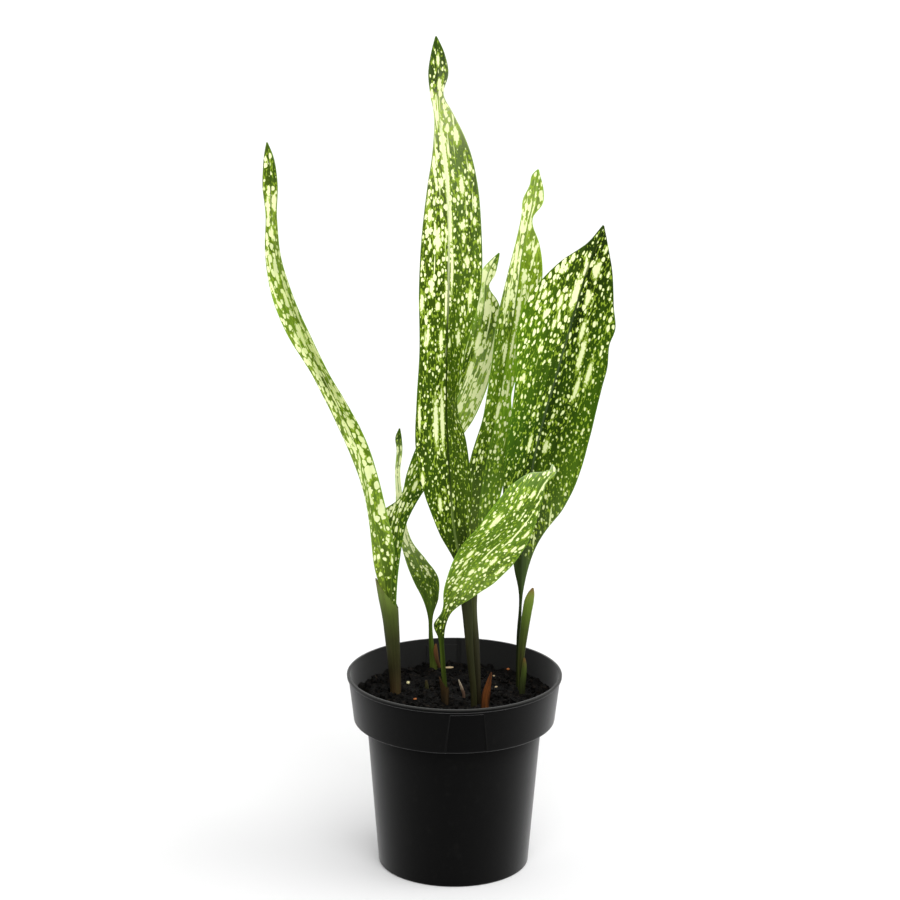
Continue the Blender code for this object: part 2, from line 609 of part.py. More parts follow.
def hole_cutter(name, x, y, foot, half_width, half_depth):
    """An upright oval plug, HOLE_GAP_MM wider all round than the stalk that stands in the hole."""
    angles = np.linspace(0, 2 * math.pi, HOLE_SIDES, endpoint=False)
    flats = math.cos(math.pi / HOLE_SIDES)
    ring_x = x + (half_width + HOLE_GAP_MM) * np.cos(angles) / flats
    ring_y = y + (half_depth + HOLE_GAP_MM) * np.sin(angles) / flats
    bottom = np.stack([ring_x, ring_y, np.full(HOLE_SIDES, foot - HOLE_GAP_MM)], axis=1)
    top = np.stack([ring_x, ring_y, np.full(HOLE_SIDES, HOLE_TOP_MM)], axis=1)
    vertices = np.concatenate([bottom, top]) * MM
    faces = [tuple(reversed(range(HOLE_SIDES))), tuple(range(HOLE_SIDES, 2 * HOLE_SIDES))]
    for j in range(HOLE_SIDES):
        k = (j + 1) % HOLE_SIDES
        faces.append((j, k, HOLE_SIDES + k, HOLE_SIDES + j))
    return add_object(name, vertices, faces)


def main():
    clear_scene()
    make_pot()
    make_soil()
    finishes = {
        "scale_small_leaf": "dry",
        "scale_brown": "dry",
        "scale_pale": "pale",
        "stub_green": "sheath",
    }
    for name in LEAVES:
        make_leaf(name, finishes.get(name, "blade"))
    make_sheath("sheath_left_stem", "sheath")
    make_sheath("sheath_low_leaf", "dry")


main()
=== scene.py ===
"""Potted cast iron plant: the finished look of the pot, the potting mix and every leaf, sheath and shoot."""

import math

import bmesh
import bpy
import numpy as np
from mathutils import Euler, Matrix


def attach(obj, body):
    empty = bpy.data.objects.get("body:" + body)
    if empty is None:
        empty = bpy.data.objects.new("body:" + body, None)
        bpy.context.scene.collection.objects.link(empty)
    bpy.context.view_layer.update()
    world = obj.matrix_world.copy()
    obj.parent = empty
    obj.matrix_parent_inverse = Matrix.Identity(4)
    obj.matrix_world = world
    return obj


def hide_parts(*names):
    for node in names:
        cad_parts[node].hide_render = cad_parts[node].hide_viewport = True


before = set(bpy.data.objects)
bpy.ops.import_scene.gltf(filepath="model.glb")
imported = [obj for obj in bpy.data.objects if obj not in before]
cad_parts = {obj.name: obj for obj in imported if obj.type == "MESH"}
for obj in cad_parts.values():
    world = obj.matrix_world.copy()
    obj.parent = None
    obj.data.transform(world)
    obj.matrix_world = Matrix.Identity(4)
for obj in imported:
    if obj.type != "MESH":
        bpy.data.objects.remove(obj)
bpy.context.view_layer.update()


# Pot
# Injection moulded polypropylene, satin black. One moulding: tapered body, stepped rim band with a rolled
# lip, a label recess at the front and the back of the band, and eight drain holes in the floor.


class Value:
    """One output of a shader node. Sums, differences and products of it add Math nodes."""

    def __init__(self, shader, socket):
        self.shader = shader
        self.socket = socket

    def math(self, operation, *terms):
        return self.shader.node("ShaderNodeMath", {"operation": operation}, dict(enumerate(terms)))

    def __add__(self, other):
        return self.math("ADD", self, other)

    def __sub__(self, other):
        return self.math("SUBTRACT", self, other)

    def __rsub__(self, other):
        return self.math("SUBTRACT", other, self)

    def __mul__(self, other):
        return self.math("MULTIPLY", self, other)

    def __abs__(self):
        return self.math("ABSOLUTE", self)

    __radd__ = __add__
    __rmul__ = __mul__

    def at_most(self, other):
        return self.math("MINIMUM", self, other)

    def at_least(self, other):
        return self.math("MAXIMUM", self, other)

    def between(self, low, high):
        """0 below low, 1 above high, and a smooth step from one to the other."""
        inputs = {0: self, 1: low, 2: high, 3: 0.0, 4: 1.0}
        return self.shader.node("ShaderNodeMapRange", {"interpolation_type": "SMOOTHSTEP"}, inputs)

    def output(self, name):
        return Value(self.shader, self.socket.node.outputs[name])

    def vector(self, operation, *terms):
        inputs = dict(enumerate((self, *terms)))
        return self.shader.node("ShaderNodeVectorMath", {"operation": operation}, inputs)

    def scaled(self, x, y, z=0.0):
        return self.vector("MULTIPLY", (x, y, z))

    def part(self, name):
        """X, Y or Z of a vector."""
        return self.shader.node("ShaderNodeSeparateXYZ", {}, {0: self}).output(name)


class Shader:
    """A material under construction: its Principled BSDF, and one method that adds any other node."""

    def __init__(self, name, **constants):
        self.material = bpy.data.materials.new(name)
        self.material.use_nodes = True
        self.tree = self.material.node_tree
        self.surface = self.tree.nodes["Principled BSDF"]
        for key, value in constants.items():
            self.surface.inputs[key.replace("_", " ")].default_value = value

    def node(self, kind, settings, inputs):
        made = self.tree.nodes.new(kind)
        for key, value in settings.items():
            if key == "stops":
                ramp = made.color_ramp.elements
                while len(ramp) < len(value):
                    ramp.new(1.0)
                for element, (position, *colour) in zip(ramp, value):
                    element.position = position
                    element.color = (*colour, 1.0)[:4]
            else:
                setattr(made, key, value)
        for key, value in inputs.items():
            self.feed(made.inputs[key], value)
        first = next(socket for socket in made.outputs if socket.enabled)
        return Value(self, first)

    def feed(self, socket, value):
        if isinstance(value, Value):
            self.tree.links.new(value.socket, socket)
        elif socket.type == "RGBA":
            socket.default_value = (*value, 1.0)
        else:
            socket.default_value = value

    def mix(self, share, first, second):
        """A colour between two colours."""
        return self.node("ShaderNodeMix", {"data_type": "RGBA"}, {0: share, 6: first, 7: second})

    def ramp(self, share, stops):
        """A colour for each share. A stop is share, red, green and blue, and it may end in an amount, read as
        Alpha."""
        return self.node("ShaderNodeValToRGB", {"stops": stops}, {0: share})

    def shade(self, colour, amount):
        """A colour made darker or brighter."""
        return self.node("ShaderNodeVectorMath", {"operation": "SCALE"}, {0: colour, "Scale": amount})

    def noise(self, vector, detail=2.0):
        return self.node("ShaderNodeTexNoise", {}, {"Vector": vector, "Scale": 1.0, "Detail": detail})

    def cells(self, vector, sway):
        """The distance to the nearest of many scattered points, and a random share for that point. Sway moves
        the vector by a noise first, so that no dot is a plain oval."""
        bent = self.noise(vector, 1).output("Color").vector("MULTIPLY_ADD", (sway,) * 3, vector)
        kind = {"voronoi_dimensions": "2D", "feature": "F1"}
        cell = self.node("ShaderNodeTexVoronoi", kind, {"Vector": bent, "Scale": 1.0})
        return cell.output("Distance"), cell.output("Color").part("X")

    def attribute(self, name):
        return self.node("ShaderNodeAttribute", {"attribute_name": name}, {})

    def place(self):
        """Position on the object, in metres."""
        return self.node("ShaderNodeTexCoord", {}, {}).output("Object")

    def finish(self, colour, roughness, height, distance, strength=1.0):
        self.feed(self.surface.inputs["Base Color"], colour)
        self.feed(self.surface.inputs["Roughness"], roughness)
        bump = self.node("ShaderNodeBump", {}, {"Height": height, "Distance": distance, "Strength": strength})
        self.feed(self.surface.inputs["Normal"], bump)
        return self.material


def add_mesh(name, vertices, faces, material, slot, sharp_deg=40):
    mesh = bpy.data.meshes.new(name)
    mesh.from_pydata(vertices, [], faces)
    mesh.materials.append(material)
    mesh.shade_smooth()
    mesh.set_sharp_from_angle(angle=math.radians(sharp_deg))
    made = bpy.data.objects.new(name, mesh)
    bpy.context.scene.collection.objects.link(made)
    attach(made, "root")
    return made


def add_skin(name, points, material, slot, attributes=None, sharp_deg=40, joined=False):
    """A closed skin over rings of points, one row for each ring, each ring joined end to end. Both ends are
    capped, or the last ring is joined to the first. Each attribute is a vector for every point."""
    rings, around = points.shape[:2]
    here = np.arange(rings if joined else rings - 1)[:, None] * around
    above = (here + around) % (rings * around)
    column = np.arange(around)
    after = np.roll(column, -1)
    corners = [here + column, here + after, above + after, above + column]
    faces = np.stack(corners, axis=-1).reshape(-1, 4).tolist()
    if not joined:
        faces.append(list(range(around - 1, -1, -1)))
        faces.append(list(range((rings - 1) * around, rings * around)))
    made = add_mesh(name, points.reshape(-1, 3), faces, material, slot, sharp_deg)
    for key, values in (attributes or {}).items():
        flat = np.ascontiguousarray(values, np.float32).ravel()
        made.data.attributes.new(key, "FLOAT_VECTOR", "POINT").data.foreach_set("vector", flat)
    return made


def rounded(corners, steps=6):
    """A profile through corners, each radius, height and rounding. A rounded corner becomes a short quadratic
    curve."""
    line = np.array([corner[:2] for corner in corners])
    out = []
    for i, (_, _, rounding) in enumerate(corners):
        if rounding == 0:
            out.append(line[i])
            continue
        start = line[i] + (line[i - 1] - line[i]) / np.linalg.norm(line[i - 1] - line[i]) * rounding
        end = line[i] + (line[i + 1] - line[i]) / np.linalg.norm(line[i + 1] - line[i]) * rounding
        for t in np.linspace(0, 1, steps):
            out.append((1 - t) ** 2 * start + 2 * t * (1 - t) * line[i] + t * t * end)
    return np.array(out)


def smooth_step(x):
    x = np.clip(x, 0, 1)
    return x * x * (3 - 2 * x)


RIM = 0.093
HEIGHT = 0.172
LIP_Z = 0.1685
BAND_Z = 0.1305
BAND_FOOT = 0.0868
BAND_HEAD = 0.0914
BODY_HEAD = 0.0757
BASE = 0.0652
WALL = 0.0016
FLOOR = 0.0022
RECESS_TOP = 0.1665
RECESS_FOOT = 0.1325
RECESS_DEPTH = 0.0006
RECESS_TURN_DEG = 6.8
RECESS_TURN = math.radians(RECESS_TURN_DEG)
RECESS_TOP_HALF_DEG = 9.0
RECESS_FOOT_HALF_DEG = 11.3
PANEL_HALF = 0.0145
PANEL_SLANT = 0.11
SEAM_X = 0.004
DRAINS = 8
DRAIN_TURN_DEG = 26.25
DRAIN_OUT = 0.047
DRAIN_RADIUS = 0.005


def band_radius(z):
    return BAND_FOOT + (z - BAND_Z) / (LIP_Z - BAND_Z) * (BAND_HEAD - BAND_FOOT)


def pot_material():
    """Black plastic with faint clouds, drag lines and dust. The recess is painted darker as shade, with a
    painted highlight on its edge, the rim's edge has a painted highlight, and the inner wall is painted
    lighter as lit from above, with one dark seam down the inner wall."""
    shader = Shader("pot", Specular_IOR_Level=0.02, Sheen_Weight=0.36, Sheen_Roughness=0.38)
    place = shader.place()
    cloud = shader.noise(place.scaled(38, 38, 22), 4)
    grain = shader.noise(place.scaled(2600, 2600, 2600), 1)
    drag = shader.noise(place.scaled(420, 420, 14), 3)
    dust = shader.noise(place.scaled(170, 170, 120), 6).between(0.56, 0.74)
    height = place.part("Z")
    scuffed = dust * (0.25 + 0.5 * height.between(0.165, 0.1715)) * 0.6
    tone = shader.mix(cloud, (0.0006, 0.0006, 0.0006), (0.0014, 0.0014, 0.0013))
    tone = shader.mix(scuffed, tone, (0.01, 0.0096, 0.009))
    sideways = place.part("X") * math.cos(RECESS_TURN) + place.part("Y") * math.sin(RECESS_TURN)
    from_edge = abs(sideways) - PANEL_HALF - (RECESS_TOP - height) * PANEL_SLANT
    level = height.between(RECESS_FOOT - 0.0003, RECESS_FOOT + 0.0001)
    level = level * (1 - height.between(RECESS_TOP - 0.0002, RECESS_TOP + 0.0002))
    recess_shade = level * (1 - from_edge.between(-0.0004, 0.0))
    edge = level * (1 - abs(from_edge).between(0.0002, 0.0006))
    # The recess is painted darker, as the shade that falls in it.
    tone = shader.mix(0.9 * recess_shade, tone, (0.0004, 0.0004, 0.0004))
    # A painted highlight along the edge of the recess.
    tone = shader.mix(0.4 * edge, tone, (0.007, 0.007, 0.0065))
    # A painted highlight along the top edge of the rim.
    tone = shader.mix(0.8 * height.between(0.1709, 0.1714), tone, (0.03, 0.03, 0.028))
    roughness = 0.42 + 0.1 * cloud + 0.1 * dust - 0.08 * recess_shade
    # The inner wall is painted lighter, as lit from above. The dark seam down it is the moulding's own.
    inside = 1 - (place.scaled(1, 1).vector("LENGTH") - 0.121 * height).between(0.0694, 0.07)
    seam = 1 - abs(place.part("X") - SEAM_X).between(0.0015, 0.003)
    wall = shader.mix(0.45 * seam, (0.016, 0.016, 0.0155), (0.003, 0.003, 0.003))
    tone = shader.mix(inside * height.between(0.132, 0.133), tone, wall)
    return shader.finish(tone, roughness, grain * 0.5 + drag * 0.5, 0.00008, 0.5)


# The turns are closer together where the sides of the two recesses are.
near_recess = np.concatenate([np.arange(8.4, 12.2, 0.12), -np.arange(8.4, 12.2, 0.12)])
fine_turns = [(middle + RECESS_TURN_DEG + near_recess) % 360 for middle in (-90, 90)]
turns = np.concatenate([np.arange(0, 360, 1.5), *fine_turns])
turns = np.radians(np.unique(np.round(turns, 3)))

levels = np.linspace(0.1335, 0.1655, 12)
band_rows = [(band_radius(z), z, 0) for z in [*levels, 0.1663, 0.1667]]
inner_rows = [(band_radius(z) - WALL, z, 0) for z in [0.1667, 0.1663, *levels[::-1]]]
pot_line = rounded(
    [
        (0.0004, 0.0004, 0),
        (0.004, 0.0004, 0.0003),
        (0.0045, 0.0, 0.0002),
        (BASE, 0.0, 0.0018),
        (BODY_HEAD, BAND_Z, 0.001),
        (BAND_FOOT, BAND_Z, 0.0014),
        *band_rows,
        (BAND_HEAD, LIP_Z, 0.0003),
        (RIM - 0.0003, LIP_Z + 0.0006, 0.0005),
        (RIM, HEIGHT, 0.0013),
        (BAND_HEAD - WALL + 0.0004, HEIGHT, 0.0004),
        (BAND_HEAD - WALL, LIP_Z, 0.001),
        *inner_rows,
        (BAND_FOOT - WALL, BAND_Z + WALL, 0.0008),
        (BODY_HEAD - WALL, BAND_Z + WALL, 0.0008),
        (BASE - WALL, FLOOR, 0.001),
        (0.0004, FLOOR, 0),
    ]
)
radius, level = pot_line[:, :1], pot_line[:, 1:]
down_recess = (RECESS_TOP - level) / (RECESS_TOP - RECESS_FOOT)
half_turn = np.radians(RECESS_TOP_HALF_DEG + down_recess * (RECESS_FOOT_HALF_DEG - RECESS_TOP_HALF_DEG))
from_front = np.abs((turns + math.pi / 2 - RECESS_TURN + math.pi / 2) % math.pi - math.pi / 2)
in_turn = smooth_step((half_turn - from_front) / math.radians(0.2) + 0.5)
in_level = smooth_step((RECESS_TOP - level) / 0.0003 + 0.5) * (level > BAND_Z - 0.0001)
on_band = (radius > BAND_FOOT - WALL - 0.0008) & (level > BAND_Z - 0.0001)
reach = radius - RECESS_DEPTH * in_turn * in_level * on_band
pot_points = np.stack([reach * np.cos(turns), reach * np.sin(turns), level + 0 * turns], axis=-1)
pot = add_skin("pot_moulding", pot_points, pot_material(), "pot")

drill = bmesh.new()
for i in range(DRAINS):
    angle = math.radians(DRAIN_TURN_DEG + 360 / DRAINS * i)
    spot = Matrix.Translation((DRAIN_OUT * math.cos(angle), DRAIN_OUT * math.sin(angle), 0))
    hole = {"segments": 40, "radius1": DRAIN_RADIUS, "radius2": DRAIN_RADIUS, "depth": 4 * FLOOR}
    bmesh.ops.create_cone(drill, cap_ends=True, matrix=spot, **hole)
drill_mesh = bpy.data.meshes.new("drain_cutter")
drill.to_mesh(drill_mesh)
drill.free()
cutter = bpy.data.objects.new("drain_cutter", drill_mesh)
bpy.context.scene.collection.objects.link(cutter)
boolean = pot.modifiers.new("drain", "BOOLEAN")
boolean.operation = "DIFFERENCE"
boolean.object = cutter
drilled = bpy.data.meshes.new_from_object(pot.evaluated_get(bpy.context.evaluated_depsgraph_get()))
pot.modifiers.clear()
pot.data = drilled
bpy.data.objects.remove(cutter)
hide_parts("pot")


# Potting mix
# Dark, damp peat and composted bark, filled to about 22 mm under the rim. The surface is open and lumpy, with
# loose crumbs, slivers of pale wood and a few beads of feed.

draw = np.random.default_rng(11)
MIX_Z = 0.1495
MIX_RADIUS = 0.0868
WAVES = 60
wave_long = np.exp(draw.uniform(math.log(0.004), math.log(0.03), WAVES))
wave_turn = draw.uniform(0, 2 * math.pi, WAVES)
wave_start = draw.uniform(0, 2 * math.pi, WAVES)


def mix_height(x, y):
    """Height of the mix: broad lumps, and a sum of short waves in all directions, the longer ones higher."""
    broad = (
        np.sin(170 * x + 60 * y + 0.4)
        + np.sin(-90 * x + 210 * y + 1.9)
        + 0.8 * np.sin(260 * x - 190 * y + 4.1)
        + 0.6 * np.sin(330 * x + 280 * y + 2.6)
    )
    steps = 2 * math.pi / wave_long
    phase = x[..., None] * np.cos(wave_turn) * steps + y[..., None] * np.sin(wave_turn) * steps + wave_start
    fine = np.sum(np.sin(phase) * wave_long**0.7, axis=-1) / np.sum(wave_long**0.7)
    return MIX_Z - 0.0003 + 0.0007 * broad + 0.0085 * fine


def mix_material():
    shader = Shader("potting_mix", Specular_IOR_Level=0.1)
    place = shader.place()
    lumps = shader.noise(place.scaled(300, 300, 300), 5)
    fine = shader.noise(place.scaled(1500, 1500, 1500), 3)
    fibre = shader.noise(place.scaled(240, 900, 500), 3).between(0.6, 0.75)
    tone = shader.ramp(
        lumps, [(0.35, 0.0003, 0.0003, 0.0002), (0.55, 0.0014, 0.0011, 0.0008), (0.72, 0.014, 0.01, 0.007)]
    )
    tone = shader.mix(fibre * 0.35, tone, (0.06, 0.042, 0.024))
    return shader.finish(tone, 0.45 + 0.5 * fine, lumps + fine * 0.5, 0.0016)


mix_skin = mix_material()
spread = np.linspace(0.01, 1, 110)[:, None]
angles = np.linspace(0, 2 * math.pi, 300, endpoint=False)
top_x, top_y = MIX_RADIUS * spread * np.cos(angles), MIX_RADIUS * spread * np.sin(angles)
top = np.stack([top_x, top_y, mix_height(top_x, top_y)], axis=-1)
down = np.array([(0.0848, 0.1325), (0.0737, 0.1322), (0.0632, 0.0027), (0.0005, 0.0027)])
under = [np.stack([r * np.cos(angles), r * np.sin(angles), z + 0 * angles], axis=-1) for r, z in down]
mix_points = np.concatenate([top, np.array(under)])[::-1]
mix = add_skin("mix_body", mix_points, mix_skin, "potting_soil", sharp_deg=80)
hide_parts("potting_soil")

STALK_FEET = [(-51, 11), (16.8, -25.2), (19.3, -19), (55.5, 26), (-8, -9), (-18.5, 73)]
STALK_FEET += [(57.4, 19.8), (58.9, 14.2), (26, -29.5)]
BITS = [
    ("bead_left", "feed", (-40.5, 31.3), (1.5, 1.4, 1.4), 0),
    ("bit_orange_left", "orange", (-33.9, -8.9), (1.6, 1.1, 0.8), 20),
    ("chip_back", "wood", (-5.2, 73.3), (4.6, 1.1, 0.9), 8),
    ("bit_orange_back", "orange", (47.5, 71.6), (1.4, 1.2, 1.0), 0),
    ("chip_by_shoot", "wood", (34.9, 55.7), (1.8, 1.0, 0.7), 110),
    ("chip_middle", "wood", (36.4, 25.0), (1.5, 0.9, 0.7), 30),
]
CLEAR = np.array(STALK_FEET + [bit[2] for bit in BITS])


def ball(subdivisions):
    """The points and the faces of a round ball of radius 1."""
    made = bmesh.new()
    bmesh.ops.create_icosphere(made, subdivisions=subdivisions, radius=1)
    points = np.array([v.co for v in made.verts])
    faces = np.array([[v.index for v in f.verts] for f in made.faces])
    made.free()
    return points, faces


def pebbles(count, sizes, flat, roughness, seed, inside=0.0845):
    """Many small lumps as one mesh: a ball, each copy with its own size, turn and dents. They lie over the
    mix, clear of the stalks. Returns vertices and faces."""
    points, faces = ball(1)
    draw = np.random.default_rng(seed)
    size = np.exp(draw.uniform(math.log(sizes[0]), math.log(sizes[1]), count))
    out = inside * np.sqrt(draw.uniform(0, 1, count))
    turn = draw.uniform(0, 2 * math.pi, count)
    x, y = out * np.cos(turn), out * np.sin(turn)
    clear = np.hypot(x[:, None] - CLEAR[:, 0] / 1000, y[:, None] - CLEAR[:, 1] / 1000).min(axis=1)
    keep = clear > 0.0045 + size
    x, y, size = x[keep], y[keep], size[keep]
    count = len(size)
    stretch = draw.uniform(flat, 1, (count, 1, 3)) * size[:, None, None]
    dents = 1 + draw.uniform(-roughness, roughness, (count, len(points), 1))
    axis = draw.normal(size=(count, 4))
    w, a, b, c = (axis / np.linalg.norm(axis, axis=1, keepdims=True)).T
    spin = np.array(
        [
            [1 - 2 * (b * b + c * c), 2 * (a * b - c * w), 2 * (a * c + b * w)],
            [2 * (a * b + c * w), 1 - 2 * (a * a + c * c), 2 * (b * c - a * w)],
            [2 * (a * c - b * w), 2 * (b * c + a * w), 1 - 2 * (a * a + b * b)],
        ]
    )
    shaped = np.einsum("ijn,nkj->nki", spin, points * dents * stretch)
    centre = np.stack([x, y, mix_height(x, y) + 0.25 * size], axis=1)
    vertices = (shaped + centre[:, None]).reshape(-1, 3)
    faces = (faces[None] + np.arange(count)[:, None, None] * len(points)).reshape(-1, 3)
    return vertices, faces.tolist()


add_mesh("mix_crumbs", *pebbles(900, (0.0008, 0.0046), 0.45, 0.28, 5), mix_skin, "potting_soil", 30)

bit_skins = {
    "feed": Shader("feed_bead", Base_Color=(0.72, 0.66, 0.36, 1), Roughness=0.5).material,
    "orange": Shader("orange_bit", Base_Color=(0.42, 0.13, 0.03, 1), Roughness=0.7).material,
    "wood": Shader("wood_chip", Base_Color=(0.5, 0.38, 0.22, 1), Roughness=0.8).material,
}
for name, kind, (x, y), size, turn_deg in BITS:
    points, faces = ball(3)
    points = points * (1 + 0.08 * np.sin(points @ np.array([5.0, 7.0, 4.0]))[:, None]) * np.array(size) / 1000
    points = points @ np.array(Matrix.Rotation(math.radians(turn_deg), 3, "Z")).T
    level = mix_height(np.array([x]) / 1000, np.array([y]) / 1000)[0] + 0.0011
    centre = np.array([x / 1000, y / 1000, level])
    add_mesh(name, points + centre, faces.tolist(), bit_skins[kind], "pale")


# Tall left leaf
# A narrow living blade, thin and leathery, folded along its midrib and pinched before a spoon-shaped tip.
# Fine veins run its whole length, and the green is broken by cream dots and blotches. It grows from the left
# sheath.


FOOT_MM = 125


def smooth_path(stations, step, foot=FOOT_MM):
    """Every column of the stations as a smooth curve through them, in steps of about the given length. The
    slope at a station is the mean of the slopes on its two sides, each weighted by the other's length. A
    first stretch stands straight in the mix, from the height of the foot up to the first station."""
    rows = np.array([stations[0], *stations], float)
    rows[0, 2] = foot
    lengths = np.linalg.norm(np.diff(rows[:, :3], axis=0), axis=1)
    slopes = np.diff(rows, axis=0) / lengths[:, None]
    tangents = np.vstack([slopes[:1], slopes[1:], slopes[-1:]])
    before, after = lengths[:-1, None], lengths[1:, None]
    tangents[1:-1] = (slopes[:-1] * after + slopes[1:] * before) / (before + after)
    tangents[1] = slopes[0]
    out = []
    for i, length in enumerate(lengths):
        t = np.linspace(0, 1, max(2, round(length / step)), endpoint=False)[:, None]
        out.append(
            (1 + 2 * t) * (1 - t) ** 2 * rows[i]
            + t * (1 - t) ** 2 * length * tangents[i]
            + t * t * (3 - 2 * t) * rows[i + 1]
            + t * t * (t - 1) * length * tangents[i + 1]
        )
    return np.vstack(out + [rows[-1:]])


def unit(vectors):
    return vectors / np.linalg.norm(vectors, axis=-1, keepdims=True)


def path_length(path):
    steps = np.linalg.norm(np.diff(path[:, :3], axis=0), axis=1)
    return np.concatenate([[0], np.cumsum(steps)])


EDGE_THICK = 0.5
EDGE_ROUND = 0.3
RIB_SPREAD = 2.2
FOLD_SOFT = 1.2
RIPPLE_HIGH = 0.5
SEED_STEP = 0.9


def add_leaf(name, node, stations, material, slot, seed, columns=41, step=2.2, foot=FOOT_MM):
    """A leaf or shoot along its midrib, from stations in millimetres and degrees. A station is the midrib's
    x, y and z, the width to the left and right, the thickness, the turn about the upright, and the lift of
    each half. The fold between the halves is soft, the margin waves a little, and the thickness falls from
    the midrib to a thin rounded edge. The attribute place holds the share across, the share along and the
    distance to the margin. The attribute grain holds the distance across, the distance along and 1 on the
    upper face."""
    path = smooth_path(stations, step, foot)
    middle, left, right, thick = path[:, :3], path[:, 3], path[:, 4], path[:, 5]
    turn, lift_left, lift_right = np.radians(path[:, 6:9]).T
    along = unit(np.gradient(middle, axis=0))
    width = np.stack([np.cos(turn), np.sin(turn), 0 * turn], axis=1)
    width = unit(width - along * np.sum(width * along, axis=1, keepdims=True))
    normal = np.cross(width, along)[:, None]

    across = np.sin(np.linspace(-math.pi / 2, math.pi / 2, columns))
    length = path_length(path)
    half = np.where(across < 0, left[:, None], right[:, None])
    lift = np.where(across < 0, lift_left[:, None], lift_right[:, None])
    out = across * half
    soft = np.minimum(FOLD_SOFT, 0.25 * half)
    rise = (np.hypot(out, soft) - soft) * np.sin(lift)
    ripple = np.sin(length[:, None] / 9.0 + 3 * across + seed)
    ripple = ripple + 0.6 * np.sin(length[:, None] / 4.6 - 4 * across)
    rise = rise + RIPPLE_HIGH * ripple * across**4 * smooth_step((half - 5) / 10)
    rib = np.minimum(half, RIB_SPREAD * thick[:, None])
    from_rib = np.clip(np.abs(across) * half / rib, 0, 1)
    depth = EDGE_THICK + (thick[:, None] - EDGE_THICK) * np.sqrt(1 - from_rib**2)
    from_edge = (1 - np.abs(across)) * half
    depth = depth * np.sqrt(1 - np.clip(1 - from_edge / EDGE_ROUND, 0, 0.97) ** 2)
    centre = middle[:, None] + (out * np.cos(lift))[..., None] * width[:, None] + rise[..., None] * normal
    offset = depth[..., None] / 2 * normal
    points = np.concatenate([centre + offset, (centre - offset)[:, ::-1]], axis=1) / 1000

    def both(values):
        return np.concatenate([values, values[:, ::-1]], axis=1)

    far = np.broadcast_to(length[:, None], out.shape)
    upper = np.concatenate([np.ones_like(out), np.zeros_like(out)], axis=1)
    place = [both(np.broadcast_to(across, out.shape)), both(far / length[-1]), both(from_edge) / 1000]
    grain = [both(out) / 1000, both(far) / 1000 + SEED_STEP * seed, upper]
    attributes = {"place": np.stack(place, axis=-1), "grain": np.stack(grain, axis=-1)}
    made = add_skin(name, points, material, slot, attributes)
    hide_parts(node)


# How often each pattern repeats in a metre across the blade and in a metre along it.
VEINS = (1500, 22)
PLEATS = (260, 6)
CLOUDS = (75, 16)
CROWDS = (85, 30)
DOTS = (280, 150)
FLECKS = (600, 220)
BLOTCHES = (250, 60)
STREAKS = (520, 26)
RAGS = (900, 420)
# The level that a pattern has to pass to show, and how much more of it shows where cream is wanted.
DOT_SIZE, DOT_REACH = 0.09, 0.62
BLOTCH_LEVEL, BLOTCH_REACH = 0.77, 0.28
FLECK_LEVEL, FLECK_REACH = 0.6, 0.12
STREAK_LEVEL, STREAK_REACH = 0.8, 0.26
# How far off a mark is where there is none, in half sizes.
NO_MARK = 9.0
CREAM = (0.9, 0.92, 0.56)
PALE_CREAM = (0.58, 0.72, 0.22)
YELLOW_GREEN = (0.31, 0.45, 0.035)
UNDERSIDE = (0.2, 0.3, 0.1)
TALLEST_MM = 740


def by_height(shader, stops):
    """A colour, and an amount in Alpha, for each height. A stop is millimetres, red, green, blue, amount."""
    height = shader.place().part("Z") * (1000 / TALLEST_MM)
    return shader.ramp(height, [(z / TALLEST_MM, *rest) for z, *rest in stops])


